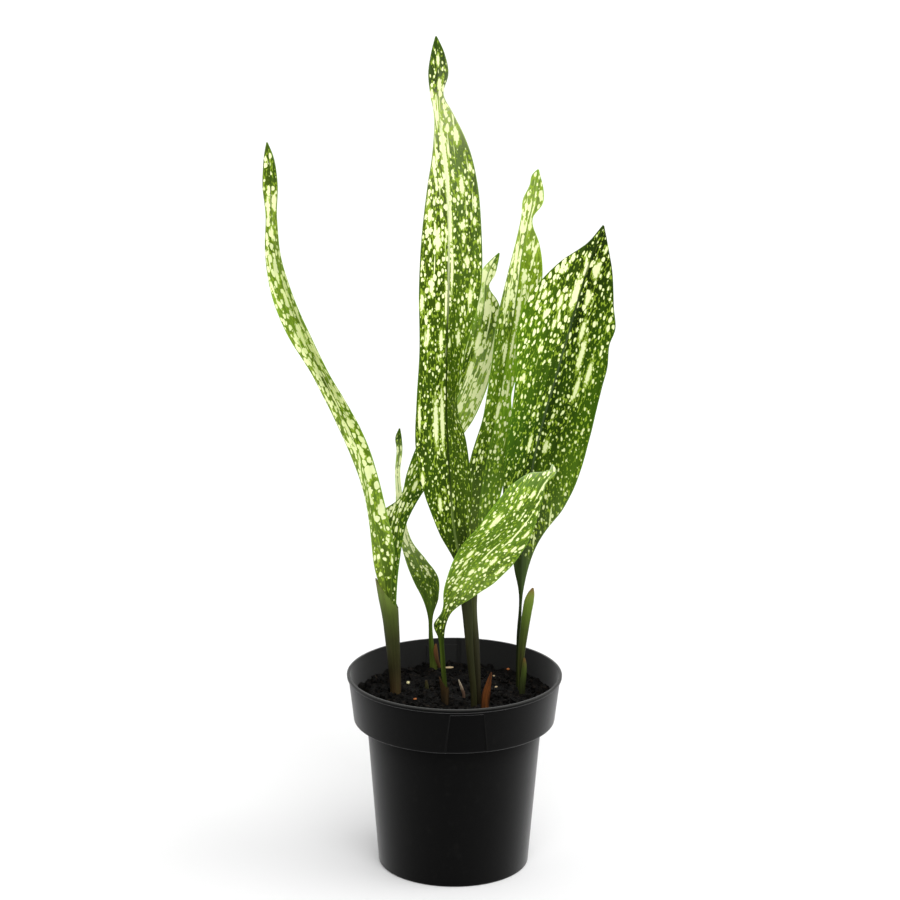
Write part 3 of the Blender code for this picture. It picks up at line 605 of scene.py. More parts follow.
def leaf_skin(name, path, seed, left, right, rib=(), marks=(), shade=0.0, drawn=(), spread=(1.0, 1.0)):
    """Green by height with a ramp for each half, and fine veins. The ramp's amount says how much of the
    green is cream. Dots are small ovals of random size round scattered points. Blotches are where a noise
    drawn out along the veins is high, and streaks where a thinner and much longer one is. The pairs of height
    and amount in drawn bring out more streaks and fewer dots. Spread makes the pattern wider, and the dots
    longer. Marks are single ovals of height, share across, width and length in millimetres, found along the
    path. Round all of these, and in fine flecks, the leaf is yellow-green. Shade paints shade on the green
    beside the midrib and painted light far from it. Light and shade along the pleats are painted too, the
    margin of a spotted blade is painted brighter as light shining through it, and sparse cream is dimmed as
    painted shade. The rib is a ramp by height too."""
    shader = Shader(name, Specular_IOR_Level=0.05)
    edge = shader.attribute("place").output("Vector").part("Z")
    grain = shader.attribute("grain").output("Vector")
    out = grain.part("X")
    middle = abs(out)

    vein = shader.noise(grain.scaled(*VEINS), 2)
    pleat = shader.noise(grain.scaled(*PLEATS), 1)
    cloud = shader.noise(grain.scaled(*CLOUDS), 3)
    on_right = out.between(-0.0004, 0.0004)
    left_side, right_side = by_height(shader, left), by_height(shader, right)
    tone = shader.mix(on_right, left_side, right_side)
    cover = left_side.output("Alpha") * (1 - on_right) + right_side.output("Alpha") * on_right
    spotted = cover.between(0.005, 0.05)
    # The pleat term paints light and shade along the pleats; the veins and clouds are the leaf's own tone.
    bright = 0.8 + 0.25 * vein.between(0.4, 0.7) + 0.25 * pleat.between(0.4, 0.7)
    bright = bright - 0.25 * cloud.between(0.45, 0.7)
    # The margin of a spotted blade is painted brighter, as light shining through it.
    margin = 1 - edge.between(0.0004, 0.0011)
    # With shade, painted shade darkens the green beside the midrib and painted light brightens it far from
    # it.
    painted_fold_shade = 1 - middle.between(0.001, 0.011)
    outer = middle.between(0.014, 0.034)
    tone = shader.shade(tone, bright + 0.7 * margin * spotted + shade * (1.6 * outer - painted_fold_shade))

    plain = edge.between(0.0004, 0.0013) * middle.between(0.0003, 0.0008)
    crowd = shader.noise(grain.scaled(*CROWDS), 2) - 0.5
    wider, longer = spread
    apart, chance = shader.cells(grain.scaled(DOTS[0] / wider, DOTS[1] / longer), 0.6)
    dots = (DOT_SIZE + DOT_REACH * cover + 0.5 * crowd) * (0.35 + 1.15 * chance) - apart
    flecks = shader.noise(grain.scaled(*FLECKS), 1.0) + FLECK_REACH * cover + 0.3 * crowd
    blotches = shader.noise(grain.scaled(BLOTCHES[0] / wider, BLOTCHES[1]), 2) + BLOTCH_REACH * cover
    streaks = shader.noise(grain.scaled(STREAKS[0] / wider, STREAKS[1]), 1.5)
    streaks = streaks + STREAK_REACH * cover + 0.3 * crowd
    ragged = shader.noise(grain.scaled(*RAGS), 2)
    near = NO_MARK
    length = path_length(path)
    for z, share, wide, long in marks:
        half = np.interp(z, path[:, 2], path[:, 3 if share < 0 else 4])
        up = np.interp(z, path[:, 2], length)
        mark_at = (share * half / 1000, up / 1000 + SEED_STEP * seed, 0)
        from_mark = grain.vector("SUBTRACT", mark_at).scaled(2000 / wide, 2000 / long)
        near = from_mark.vector("LENGTH").at_most(near)
    pull = by_height(shader, [(z, 0, 0, 0, amount) for z, amount in drawn]).output("Alpha") if drawn else 0.0
    field = (dots - 0.2 * pull).at_least(blotches - BLOTCH_LEVEL + 0.1 * ragged)
    field = field.at_least(streaks - STREAK_LEVEL + 0.16 * pull) - 0.3 * (1 - plain)
    field = field.at_least(0.12 * (0.35 + 1.3 * ragged - near))
    fleck = plain * (flecks - FLECK_LEVEL).between(0.0, 0.035)
    tone = shader.mix(0.75 * spotted * field.between(-0.06, -0.005).at_least(fleck), tone, YELLOW_GREEN)
    pale = shader.mix(0.4 * vein + 0.3 * (1 - field.between(0.0, 0.06)), CREAM, PALE_CREAM)
    # Where cover is sparse the cream is mixed in less, as painted shade on those dots.
    dimmed_cream_share = (0.6 + 1.8 * cover).at_most(1.0)
    tone = shader.mix(dimmed_cream_share * spotted * field.between(0.0, 0.022), tone, pale)
    if rib:
        line = by_height(shader, rib)
        tone = shader.mix(line.output("Alpha") * (1 - middle.between(0.0005, 0.0014)), tone, line)
    tone = shader.mix(grain.part("Z"), shader.mix(0.35, tone, UNDERSIDE), tone)
    return shader.finish(tone, 0.4 + 0.12 * cloud + 0.1 * vein, pleat + 0.35 * vein, 0.0006, 0.5)


def add_blade(name, stations, seed, left, right, columns=41, step=2.2, foot=FOOT_MM, **pattern):
    """A living blade with a skin of its own, in place of the CAD leaf of that name."""
    skin = leaf_skin(f"{name}_skin", smooth_path(stations, 2, foot), seed, left, right, **pattern)
    add_leaf(f"{name}_blade", f"leaf_{name}", stations, skin, "blade", seed, columns, step, foot)


TALL_LEFT = [
    (-51, 8.6, 152, 2.6, 2.6, 3.8, 0, 0, 0),
    (-54, 8.4, 200, 3.2, 3.2, 4.0, 0, 5, 5),
    (-57.8, 8.8, 232, 4.0, 4.2, 3.4, 0, 0, 0),
    (-60.3, 9.3, 252, 5.8, 6.0, 2.6, 0, 5, 5),
    (-63.5, 9.2, 272, 8.6, 12.0, 2.0, 0, 40, 10),
    (-71, 9.5, 310, 12.0, 13.5, 1.6, 0, 76, 15),
    (-83, 10, 368, 20.0, 11.0, 1.5, 0, 75, 25),
    (-98, 10, 404, 20.0, 14.0, 1.4, 0, 74, 50),
    (-115, 10, 439, 21.0, 16.0, 1.4, 0, 75, 64),
    (-132, 12, 473, 22.0, 17.0, 1.3, 0, 66, 63),
    (-145, 14, 507, 20.0, 15.0, 1.3, 0, 60, 64),
    (-153, 16, 541, 13.0, 10.0, 1.2, 0, 55, 60),
    (-155.5, 18, 568, 6.5, 6.5, 1.2, 0, 45, 40),
    (-156, 20, 597, 7.7, 7.0, 1.1, 0, 30, 30),
    (-157.5, 21, 617, 4.6, 5.0, 1.0, 0, 25, 20),
    (-158.8, 22, 631, 0.6, 0.6, 0.7, 0, 0, 0),
]
add_blade(
    "tall_left",
    TALL_LEFT,
    1,
    left=[
        (150, 0.05, 0.06, 0.012, 0), (250, 0.1, 0.15, 0.015, 0.12), (322, 0.167, 0.27, 0.038, 0.36),
        (378, 0.166, 0.262, 0.036, 0.5), (433, 0.096, 0.154, 0.015, 0.5), (489, 0.181, 0.304, 0.029, 0.44),
        (545, 0.095, 0.165, 0.012, 0.42), (575, 0.12, 0.19, 0.025, 0.54), (600, 0.05, 0.09, 0.006, 0.25),
    ],
    right=[
        (150, 0.05, 0.06, 0.012, 0), (250, 0.045, 0.08, 0.005, 0.07), (322, 0.159, 0.269, 0.031, 0.5),
        (378, 0.1, 0.186, 0.011, 0.4), (433, 0.19, 0.31, 0.032, 0.6), (489, 0.15, 0.255, 0.026, 0.5),
        (545, 0.189, 0.29, 0.045, 0.45), (575, 0.15, 0.23, 0.035, 0.56), (600, 0.055, 0.105, 0.009, 0.42),
    ],
    marks=[
        (576, -0.5, 3.4, 22), (555, -0.05, 4.2, 12), (523, -0.25, 5.1, 21), (499, -0.1, 5.1, 17),
        (471, -0.1, 6.8, 20), (447, 0.4, 6.8, 19), (418, 0.3, 5.1, 14), (392, 0.3, 5.1, 14),
        (366, 0.25, 4.2, 14),
    ],
    drawn=[(535, 0.0), (555, 0.2), (585, 0.2), (598, 0.0)],
    spread=(1.5, 1.0),
)


# Back middle leaf
# A second blade from the same sheath. It leans right and passes behind the tall centre leaf. Its left half is
# mostly pale and cream, its right half dotted dark green.

BACK_MIDDLE = [
    (-51, 13.6, 152, 2.6, 2.6, 3.8, 0, 0, 0),
    (-53, 13.8, 200, 3.2, 3.2, 4.0, 0, 0, 0),
    (-54.5, 14.2, 232, 4.2, 4.2, 3.4, 0, 10, 10),
    (-52, 19, 270, 8.0, 5.0, 2.0, 5, 25, 25),
    (-47, 24, 305, 21.5, 7.0, 1.6, 5, 25, 20),
    (-42, 26, 320, 9.5, 9.0, 1.5, 10, 35, 20),
    (-34, 29, 340, 12.0, 13.0, 1.5, 10, 35, 20),
    (-22, 35, 366, 14.0, 16.5, 1.5, 10, 30, 15),
    (-3, 42, 397, 19.0, 20.5, 1.4, 10, 25, 20),
    (11, 50, 430, 20.0, 20.0, 1.4, 10, 25, 25),
    (20, 57, 462, 18.0, 18.0, 1.3, 5, 25, 25),
    (23.5, 60.5, 486, 13.0, 14.0, 1.2, 0, 25, 25),
    (24, 62, 500, 5.0, 4.0, 1.2, 0, 25, 25),
    (27, 63.5, 512, 6.2, 6.5, 1.1, 0, 20, 20),
    (31, 65, 520, 3.4, 4.5, 1.0, 0, 15, 15),
    (36, 66, 528, 0.6, 0.6, 0.7, 0, 0, 0),
]
add_blade(
    "back_middle",
    BACK_MIDDLE,
    2,
    left=[
        (150, 0.05, 0.06, 0.012, 0), (265, 0.06, 0.135, 0.006, 0.12), (305, 0.07, 0.13, 0.012, 0.42),
        (340, 0.055, 0.12, 0.004, 0.26), (440, 0.042, 0.085, 0.005, 0.2), (475, 0.204, 0.348, 0.042, 0.3),
        (505, 0.675, 0.81, 0.338, 1), (524, 0.08, 0.16, 0.015, 0.4),
    ],
    right=[
        (150, 0.05, 0.06, 0.012, 0), (265, 0.05, 0.11, 0.006, 0.14), (340, 0.027, 0.065, 0.002, 0.15),
        (380, 0.138, 0.23, 0.029, 0.46), (405, 0.218, 0.333, 0.069, 0.56), (440, 0.184, 0.287, 0.063, 0.53),
        (475, 0.079, 0.149, 0.012, 0.42), (505, 0.2, 0.29, 0.07, 0.55), (524, 0.06, 0.13, 0.01, 0.3),
    ],
    marks=[
        (430, 0.03, 5.1, 15), (453, 0.03, 5.1, 19), (481, 0.25, 5.1, 15), (414, 0.58, 4.2, 13),
        (510, 0.93, 2.5, 10), (333, 0.2, 3.4, 10),
    ],
    drawn=[(370, 0.0), (395, 0.7), (455, 0.6), (475, 0.2)],
)


# Sheath of the left stem
# A tough leaf base rolled round both stalks, olive-brown and finely ribbed along its length. Its mouth is cut
# on a slant, and the high left side ends in a dry tip.


def add_sheath(name, node, stations, material, slot, seed, mouth_mm, tilt_mm, sides, rings):
    """A tube with an outer and an inner wall. Both run up to a slanted and slightly torn mouth, highest on
    the left, and small ribs run along it. A station is x, y and z, half the width and half the depth."""
    path = smooth_path(stations, 2)
    angles = np.linspace(0, 2 * math.pi, sides, endpoint=False)
    torn = 0.35 * np.sin(9 * angles + seed) + 0.25 * np.sin(23 * angles + 2 * seed)
    mouth = mouth_mm - tilt_mm * np.cos(angles) + torn
    share = np.linspace(0, 1, rings)[:, None]
    height = path[0, 2] + share * (mouth - path[0, 2])
    ribs = 0.07 * np.sin(17 * angles + seed) + 0.05 * np.sin(31 * angles)

    def wall(inset):
        x, y, width, depth = [np.interp(height, path[:, 2], path[:, column]) for column in (0, 1, 3, 4)]
        across, deep = (width - inset) * np.cos(angles), (depth - inset) * np.sin(angles)
        return np.stack([x + across, y + deep, height], axis=-1)

    thin = 0.8 - 0.35 * share**6
    points = np.concatenate([wall(0.08 - ribs), wall(thin)[::-1]]) / 1000
    turned = np.broadcast_to(angles / (2 * math.pi), height.shape)
    grain = np.stack([turned * 0.04, height / 1000, 0 * height], axis=-1)
    attributes = {"grain": np.concatenate([grain, grain[::-1]])}
    made = add_skin(name, points, material, slot, attributes, joined=True)
    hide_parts(node)


def husk_skin(name, low, high, streak, stops, roughness=0.5, dry=0.4):
    """Tones by height, fine pale and dark lines along the grain that show more on a dry husk, and specks in
    the colour named streak."""
    shader = Shader(name, Specular_IOR_Level=0.12)
    grain = shader.attribute("grain").output("Vector")
    line = shader.noise(grain.scaled(2200, 30), 3)
    wide = shader.noise(grain.scaled(420, 18), 3)
    speck = shader.noise(grain.scaled(900, 500), 4).between(0.6, 0.72)
    tone = by_height(shader, stops)
    tone = shader.mix(dry * 0.6 * wide.between(0.4, 0.68), tone, high)
    tone = shader.mix(dry * 0.6 * line.between(0.5, 0.68), tone, low)
    tone = shader.mix(0.5 * speck, tone, streak)
    return shader.finish(tone, roughness + 0.15 * wide, line + 0.5 * wide, 0.0005, 0.2 + 0.4 * dry)


left_sheath_skin = husk_skin(
    "left_sheath_skin",
    low=(0.012, 0.012, 0.004),
    high=(0.06, 0.06, 0.018),
    streak=(0.03, 0.016, 0.006),
    stops=[
        (148, 0.045, 0.026, 0.01), (172, 0.02, 0.017, 0.005), (200, 0.026, 0.031, 0.006),
        (222, 0.055, 0.078, 0.011), (240, 0.12, 0.175, 0.028), (248, 0.14, 0.17, 0.035),
        (253, 0.16, 0.14, 0.045),
    ],
)
add_sheath(
    "left_sheath",
    "sheath_left_stem",
    [
        (-51, 11.1, 152, 4.8, 5.9),
        (-52.2, 11.1, 176, 5.5, 6.3),
        (-53.9, 11.2, 200, 6.5, 6.7),
        (-55.4, 11.4, 218, 7.2, 7.3),
        (-57.6, 11.6, 236, 8.4, 7.8),
        (-59.6, 11.8, 256, 9.6, 8.2),
    ],
    left_sheath_skin,
    "sheath",
    seed=1,
    mouth_mm=240,
    tilt_mm=13,
    sides=72,
    rings=70,
)


# Tall centre leaf
# The tallest blade, facing the front. It is deep green with dense cream dots, long cream stripes beside the
# midrib, and a plain margin painted bright as light shining through it. It narrows to a pale grey-green waist
# below its tip, partly cream and partly a painted sheen. It stands straight in the mix.

TALL_CENTRE = [
    (16.8, -25.2, 152, 2.6, 2.6, 5.0, 0, 0, 0),
    (12.8, -26.3, 200, 3.0, 3.4, 5.0, 0, 0, 0),
    (9.4, -29.5, 246, 4.4, 5.0, 4.6, 0, 0, 0),
    (4.2, -32, 284, 5.0, 6.0, 3.0, 0, 15, 15),
    (-1, -35, 312, 13.3, 13.0, 2.2, 0, 20, 20),
    (-4, -38, 345, 22.5, 19.5, 1.8, 0, 20, 25),
    (-7, -42, 392, 28.5, 20.0, 1.6, 0, 20, 37),
    (-8, -45, 428, 27.0, 21.0, 1.5, 0, 22, 65),
    (-8, -48, 471, 24.5, 21.0, 1.5, 0, 22, 47),
    (-7, -52, 530, 26.0, 28.5, 1.4, 0, 22, 20),
    (-7, -54, 575, 23.5, 27.5, 1.4, 0, 22, 15),
    (-9, -56, 615, 17.0, 25.5, 1.3, 0, 25, 15),
    (-12.5, -56, 645, 9.0, 21.5, 1.3, 0, 30, 20),
    (-15.5, -55, 672, 5.5, 11.5, 1.2, 0, 35, 25),
    (-16.5, -54.5, 685, 6.6, 5.6, 1.2, 0, 25, 30),
    (-17, -54, 703, 7.8, 9.6, 1.1, 0, 20, 20),
    (-17.5, -52, 719, 4.8, 6.2, 1.0, 0, 15, 15),
    (-18.2, -50, 732, 0.6, 0.6, 0.7, 0, 0, 0),
]
add_blade(
    "tall_centre",
    TALL_CENTRE,
    3,
    # Near 640 to 695 mm the pale grey-green of the waist is partly cream and partly a painted sheen.
    left=[
        (150, 0.024, 0.022, 0.008, 0), (240, 0.022, 0.024, 0.009, 0), (275, 0.025, 0.04, 0.006, 0),
        (320, 0.034, 0.072, 0.002, 0.15), (388, 0.029, 0.062, 0.002, 0.17), (450, 0.039, 0.082, 0.002, 0.2),
        (512, 0.04, 0.08, 0.002, 0.24), (575, 0.046, 0.083, 0.004, 0.4), (640, 0.115, 0.16, 0.045, 0.54),
        (672, 0.33, 0.39, 0.19, 0.5), (695, 0.04, 0.065, 0.015, 0.32), (725, 0.03, 0.065, 0.004, 0.1),
    ],
    right=[
        (150, 0.022, 0.022, 0.008, 0), (240, 0.02, 0.023, 0.008, 0), (275, 0.03, 0.045, 0.01, 0),
        (320, 0.042, 0.08, 0.003, 0.1), (388, 0.044, 0.09, 0.003, 0.08), (450, 0.046, 0.098, 0.002, 0.08),
        (512, 0.058, 0.115, 0.005, 0.2), (575, 0.066, 0.12, 0.014, 0.24), (640, 0.11, 0.165, 0.042, 0.22),
        (655, 0.21, 0.27, 0.09, 0.3), (674, 0.33, 0.39, 0.19, 0.5), (695, 0.09, 0.125, 0.048, 0.52),
        (725, 0.04, 0.08, 0.006, 0.1),
    ],
    rib=[
        (240, 0.018, 0.018, 0.007, 0), (262, 0.08, 0.11, 0.03, 0.9), (290, 0.13, 0.18, 0.045, 1),
        (328, 0.1, 0.15, 0.03, 0.9), (355, 0.016, 0.03, 0.002, 0.9), (490, 0.016, 0.03, 0.002, 0.8),
        (550, 0.6, 0.65, 0.35, 0.7), (655, 0.7, 0.75, 0.45, 0.9), (672, 0.05, 0.08, 0.01, 0),
    ],
    marks=[
        (409, -0.35, 4.2, 42), (411, -0.15, 3.4, 48), (416, -0.88, 2.5, 24), (362, -0.93, 3.4, 12),
        (337, -0.5, 3.4, 14), (631, 0.02, 4.2, 80), (578, 0.05, 3.2, 36), (542, 0.1, 2.5, 38),
        (512, -0.07, 2.1, 29), (652, 0.65, 5.1, 15), (657, 0.3, 5, 6), (611, 0.48, 4.2, 17),
        (578, 0.43, 5.1, 7), (582, 0.8, 3.4, 7), (568, 0.45, 3.4, 8), (549, 0.55, 4.2, 8),
        (588, -0.75, 4.2, 12), (565, -0.4, 5.1, 17), (528, -0.57, 3.4, 15), (510, -0.35, 4.2, 8),
        (514, -0.9, 3.4, 17), (520, 0.7, 4.2, 14), (596, 0.85, 3.4, 7), (625, 0.85, 3.4, 7),
        (481, -0.22, 3.4, 17), (485, -0.7, 3.4, 13), (485, 0.53, 3.4, 13), (713, 0.1, 2.5, 10),
        (693, 0.25, 4, 10), (686, -0.8, 3.4, 8),
    ],
    drawn=[(600, 0.1), (640, 0.6), (680, 0.6), (695, 0.1)],
    columns=49,
)


# Second leaf of the centre stem
# It stands just behind the tall centre leaf. Its left half is pale grey-green with long white stripes, its
# right half is yellow-green. The blade twists at a narrow waist, and its tip turns to the left.

SECOND = [
    (19.3, -19.0, 152, 3.6, 3.6, 5.4, 0, 0, 0),
    (18.4, -19.8, 200, 3.1, 3.1, 5.0, 0, 0, 0),
    (15.6, -22.2, 246, 3.1, 3.3, 4.2, 0, 0, 0),
    (17.5, -17, 285, 6.0, 6.0, 2.8, 0, 15, 15),
    (20, -4, 325, 14.0, 16.0, 2.0, 0, 22, 8),
    (26, 5, 362, 16.5, 18.5, 1.6, 0, 34, 14),
    (34, 12, 398, 14.0, 15.5, 1.5, 0, 38, 22),
    (37.3, 17, 416, 14.4, 10.6, 1.5, 0, 38, 26),
    (41, 22, 438, 15.0, 13.6, 1.5, 0, 38, 28),
    (48, 31, 478, 15.0, 17.0, 1.4, 0, 25, 25),
    (53, 39, 515, 13.0, 20.0, 1.3, 0, 37, 15),
    (57, 44, 545, 8.0, 12.5, 1.3, 0, 30, 10),
    (61, 47, 563, 8.4, 3.2, 1.3, 0, 30, 30),
    (64, 49, 577, 9.2, 8.6, 1.1, 0, 15, 10),
    (66, 51, 590, 5.2, 6.4, 1.0, 0, 10, 10),
    (67.3, 51.7, 599, 4.2, 2.4, 0.9, 0, 5, 5),
    (68, 52, 603.5, 0.6, 0.6, 0.7, 0, 0, 0),
]
add_blade(
    "second",
    SECOND,
    4,
    left=[
        (150, 0.01, 0.008, 0.004, 0), (210, 0.026, 0.026, 0.011, 0), (260, 0.075, 0.09, 0.025, 0),
        (310, 0.062, 0.1, 0.014, 0.14), (365, 0.04, 0.08, 0.005, 0.15), (420, 0.09, 0.181, 0.006, 0.21),
        (470, 0.087, 0.172, 0.009, 0.3), (525, 0.145, 0.215, 0.045, 0.58), (575, 0.21, 0.29, 0.065, 0.52),
        (600, 0.15, 0.25, 0.035, 0.3),
    ],
    right=[
        (150, 0.014, 0.011, 0.005, 0), (210, 0.026, 0.026, 0.013, 0), (260, 0.062, 0.072, 0.027, 0),
        (310, 0.08, 0.15, 0.013, 0.13), (365, 0.086, 0.173, 0.011, 0.15), (420, 0.168, 0.336, 0.014, 0.28),
        (470, 0.19, 0.345, 0.015, 0.2), (525, 0.143, 0.237, 0.011, 0.36), (575, 0.242, 0.352, 0.066, 0.42),
        (600, 0.17, 0.28, 0.04, 0.3),
    ],
    marks=[
        (529, -0.57, 3.4, 30), (495, -0.57, 3.4, 21), (514, 0.2, 4.2, 13), (556, 0.4, 3.4, 8),
        (483, 0.2, 3.4, 26), (451, -0.17, 3.4, 21), (403, 0.03, 3.4, 17), (458, 0.2, 2.5, 26),
        (421, 0.58, 2.5, 17),
    ],
    drawn=[(430, 0.0), (470, 0.5), (560, 0.4)],
)


# Broad right leaf
# The widest blade, leaning right and facing the front. A band with few spots, darkened by painted shade, runs
# beside its thin pale midrib line, large cream blotches lie to the right of it, and the left half is brighter
# and finely dotted. Towards the margins it has painted light.

BROAD_RIGHT = [
    (55.5, 26, 152, 1.9, 1.9, 3.6, 0, 0, 0),
    (55.7, 25, 195, 2.0, 2.0, 3.4, 0, 0, 0),
    (57, 22, 240, 2.2, 2.2, 3.0, 0, 0, 0),
    (57.5, 18, 262, 7.2, 5.8, 2.2, 0, 20, 20),
    (59, 13, 292, 14.0, 14.5, 1.9, 0, 22, 22),
    (61.5, 8, 325, 23.0, 32.0, 1.7, 0, 24, 22),
    (66, 2, 362, 28.0, 42.0, 1.6, 0, 26, 24),
    (74, -4, 402, 32.0, 43.5, 1.5, 0, 26, 24),
    (85, -9, 445, 40.0, 41.5, 1.5, 0, 24, 24),
    (89.4, -10.1, 462, 44.8, 41.0, 1.5, 0, 23, 24),
    (94, -11, 480, 48.0, 37.5, 1.4, 0, 22, 24),
    (98, -11.6, 495, 46.7, 38.5, 1.4, 0, 22, 25),
    (102, -12, 510, 42.0, 32.5, 1.4, 0, 22, 26),
    (109, -12, 535, 25.0, 23.0, 1.3, 0, 22, 26),
    (114.5, -11, 553, 7.0, 12.5, 1.1, 0, 20, 20),
    (121.0, -9.5, 569, 0.6, 0.6, 0.7, 0, 0, 0),
]
add_blade(
    "broad_right",
    BROAD_RIGHT,
    5,
    left=[
        (150, 0.022, 0.024, 0.008, 0), (200, 0.022, 0.034, 0.01, 0), (268, 0.03, 0.052, 0.009, 0),
        (295, 0.04, 0.075, 0.008, 0.11), (345, 0.03, 0.07, 0.002, 0.13), (393, 0.03, 0.077, 0.002, 0.12),
        (443, 0.038, 0.088, 0.002, 0.11), (491, 0.038, 0.086, 0.002, 0.26), (540, 0.027, 0.055, 0.002, 0.3),
        (562, 0.025, 0.055, 0.003, 0.1),
    ],
    right=[
        (150, 0.022, 0.024, 0.008, 0), (200, 0.03, 0.05, 0.016, 0), (246, 0.084, 0.133, 0.039, 0),
        (268, 0.085, 0.137, 0.036, 0), (295, 0.062, 0.1, 0.022, 0.12), (345, 0.046, 0.094, 0.005, 0.11),
        (393, 0.024, 0.058, 0.001, 0.1), (443, 0.024, 0.058, 0.001, 0.13), (491, 0.02, 0.048, 0.001, 0.2),
        (540, 0.016, 0.034, 0.001, 0.26), (562, 0.015, 0.034, 0.001, 0.1),
    ],
    rib=[
        (240, 0.018, 0.03, 0.006, 0.6), (300, 0.055, 0.08, 0.035, 0.7), (470, 0.05, 0.08, 0.03, 0.7),
        (520, 0.014, 0.03, 0.003, 0.9), (562, 0.03, 0.06, 0.004, 0.4),
    ],
    # Painted shade beside the midrib and painted light towards the margins.
    shade=0.35,
    marks=[
        (534, 0.35, 6, 14), (533, -0.05, 3.4, 12), (511, -0.1, 6, 31), (502, -0.35, 4.2, 14),
        (510, 0.25, 5.1, 12), (483, 0.3, 4.2, 19), (464, 0.4, 4.2, 29), (451, 0.65, 4.2, 22),
        (436, 0.48, 3.4, 22), (483, -0.32, 3.4, 10), (527, -0.72, 5.1, 5), (506, -0.72, 4.2, 8),
        (552, 0.78, 2.5, 8), (379, -0.25, 3.4, 17), (378, 0.18, 4.2, 12), (461, -0.47, 3.4, 6),
        (436, -0.8, 2.5, 8), (315, 0.81, 1.5, 22), (290, 0.65, 1.5, 15),
    ],
    spread=(1.2, 1.2),
    columns=61,
)


# Low front leaf
# A short blade that arches forward and lies across the stems. It is mid-green with dots and slanting streaks
# along its veins, a thin margin painted bright as light shining through it, and a whitish looped tip.

LOW_FRONT = [
    (-8, -9, 152, 2.2, 2.2, 4.0, 0, 0, 0),
    (-10, -13, 185, 2.1, 2.1, 3.8, 0, 0, 0),
    (-11.5, -20, 211, 2.8, 2.6, 2.8, 0, 10, 10),
    (-10.5, -26, 225, 7.6, 3.2, 2.2, 0, 10, 20),
    (-8, -31, 238, 4.0, 5.0, 2.0, 5, 25, 25),
    (0, -41, 260, 11.5, 15.5, 1.7, 5, 20, 15),
    (12.5, -51, 281, 21.5, 23.0, 1.5, 5, 18, 10),
    (28.5, -58, 301, 29.0, 24.0, 1.4, 5, 16, 10),
    (43.5, -63, 317, 31.0, 18.5, 1.4, 5, 16, 15),
    (56, -66, 334, 31.0, 12.5, 1.3, 5, 18, 20),
    (66, -67, 351, 27.0, 7.0, 1.2, 5, 20, 30),
    (73, -65, 363, 15.5, 2.6, 1.1, 5, 20, 30),
    (76.5, -63.3, 367.5, 7.0, 2.4, 1.0, 5, 20, 25),
    (80, -62.3, 371.8, 3.2, 3.4, 0.9, 0, 10, 10),
    (79.8, -61, 377.5, 0.6, 0.6, 0.8, 0, 0, 0),
]
add_blade(
    "low_front",
    LOW_FRONT,
    6,
    left=[
        (150, 0.03, 0.034, 0.008, 0), (190, 0.085, 0.13, 0.016, 0), (212, 0.05, 0.085, 0.008, 0),
        (225, 0.022, 0.044, 0.004, 0.12), (268, 0.125, 0.22, 0.022, 0.2), (310, 0.085, 0.168, 0.01, 0.16),
        (350, 0.105, 0.2, 0.015, 0.16), (368, 0.1, 0.18, 0.03, 0.15), (375, 0.28, 0.35, 0.18, 0.6),
    ],
    right=[
        (150, 0.026, 0.03, 0.007, 0), (190, 0.04, 0.068, 0.007, 0), (212, 0.03, 0.055, 0.006, 0),
        (225, 0.03, 0.048, 0.007, 0.25), (268, 0.138, 0.23, 0.03, 0.2), (310, 0.093, 0.178, 0.015, 0.24),
        (350, 0.064, 0.125, 0.011, 0.17), (368, 0.15, 0.22, 0.06, 0.15), (375, 0.28, 0.35, 0.18, 0.6),
    ],
    marks=[
        (322, -0.64, 4.2, 19), (318, -0.92, 3, 9), (294, -0.52, 4.2, 10), (341, -0.3, 3.4, 10),
        (352, -0.12, 3.4, 8), (322, 0.32, 1.3, 42), (302, 0.03, 1.3, 23), (360, 0.32, 1.4, 24),
        (348, 0.62, 1.3, 9), (325, 0.75, 2.6, 10), (281, 0.05, 3.4, 9), (296, 0.38, 3.4, 11),
        (294, 0.8, 3, 14), (263, -0.15, 3.4, 6),
    ],
)


# Sheath of the low leaf
# A short dry husk round the foot of the low leaf's stalk, brown with dark streaks and a slanted mouth.

low_sheath_skin = husk_skin(
    "low_sheath_skin",
    low=(0.01, 0.006, 0.003),
    high=(0.06, 0.035, 0.012),
    streak=(0.008, 0.004, 0.002),
    stops=[(150, 0.012, 0.008, 0.003), (160, 0.03, 0.018, 0.006), (172, 0.055, 0.03, 0.01)],
    roughness=0.6,
    dry=1.0,
)
add_sheath(
    "low_sheath",
    "sheath_low_leaf",
    [
        (-8, -9, 152, 3.7, 3.4),
        (-9.2, -11.2, 172, 4.2, 4.0),
        (-9.9, -12.6, 182, 4.6, 4.4),
    ],
    low_sheath_skin,
    "dry",
    seed=4,
    mouth_mm=166,
    tilt_mm=6,
    sides=56,
    rings=40,
)


# Small left leaf
# A small blade at the back, plain green low down and nearly white along its narrow wavy tip, which ends dark.
# It stands in the mix on a thin stalk of its own.

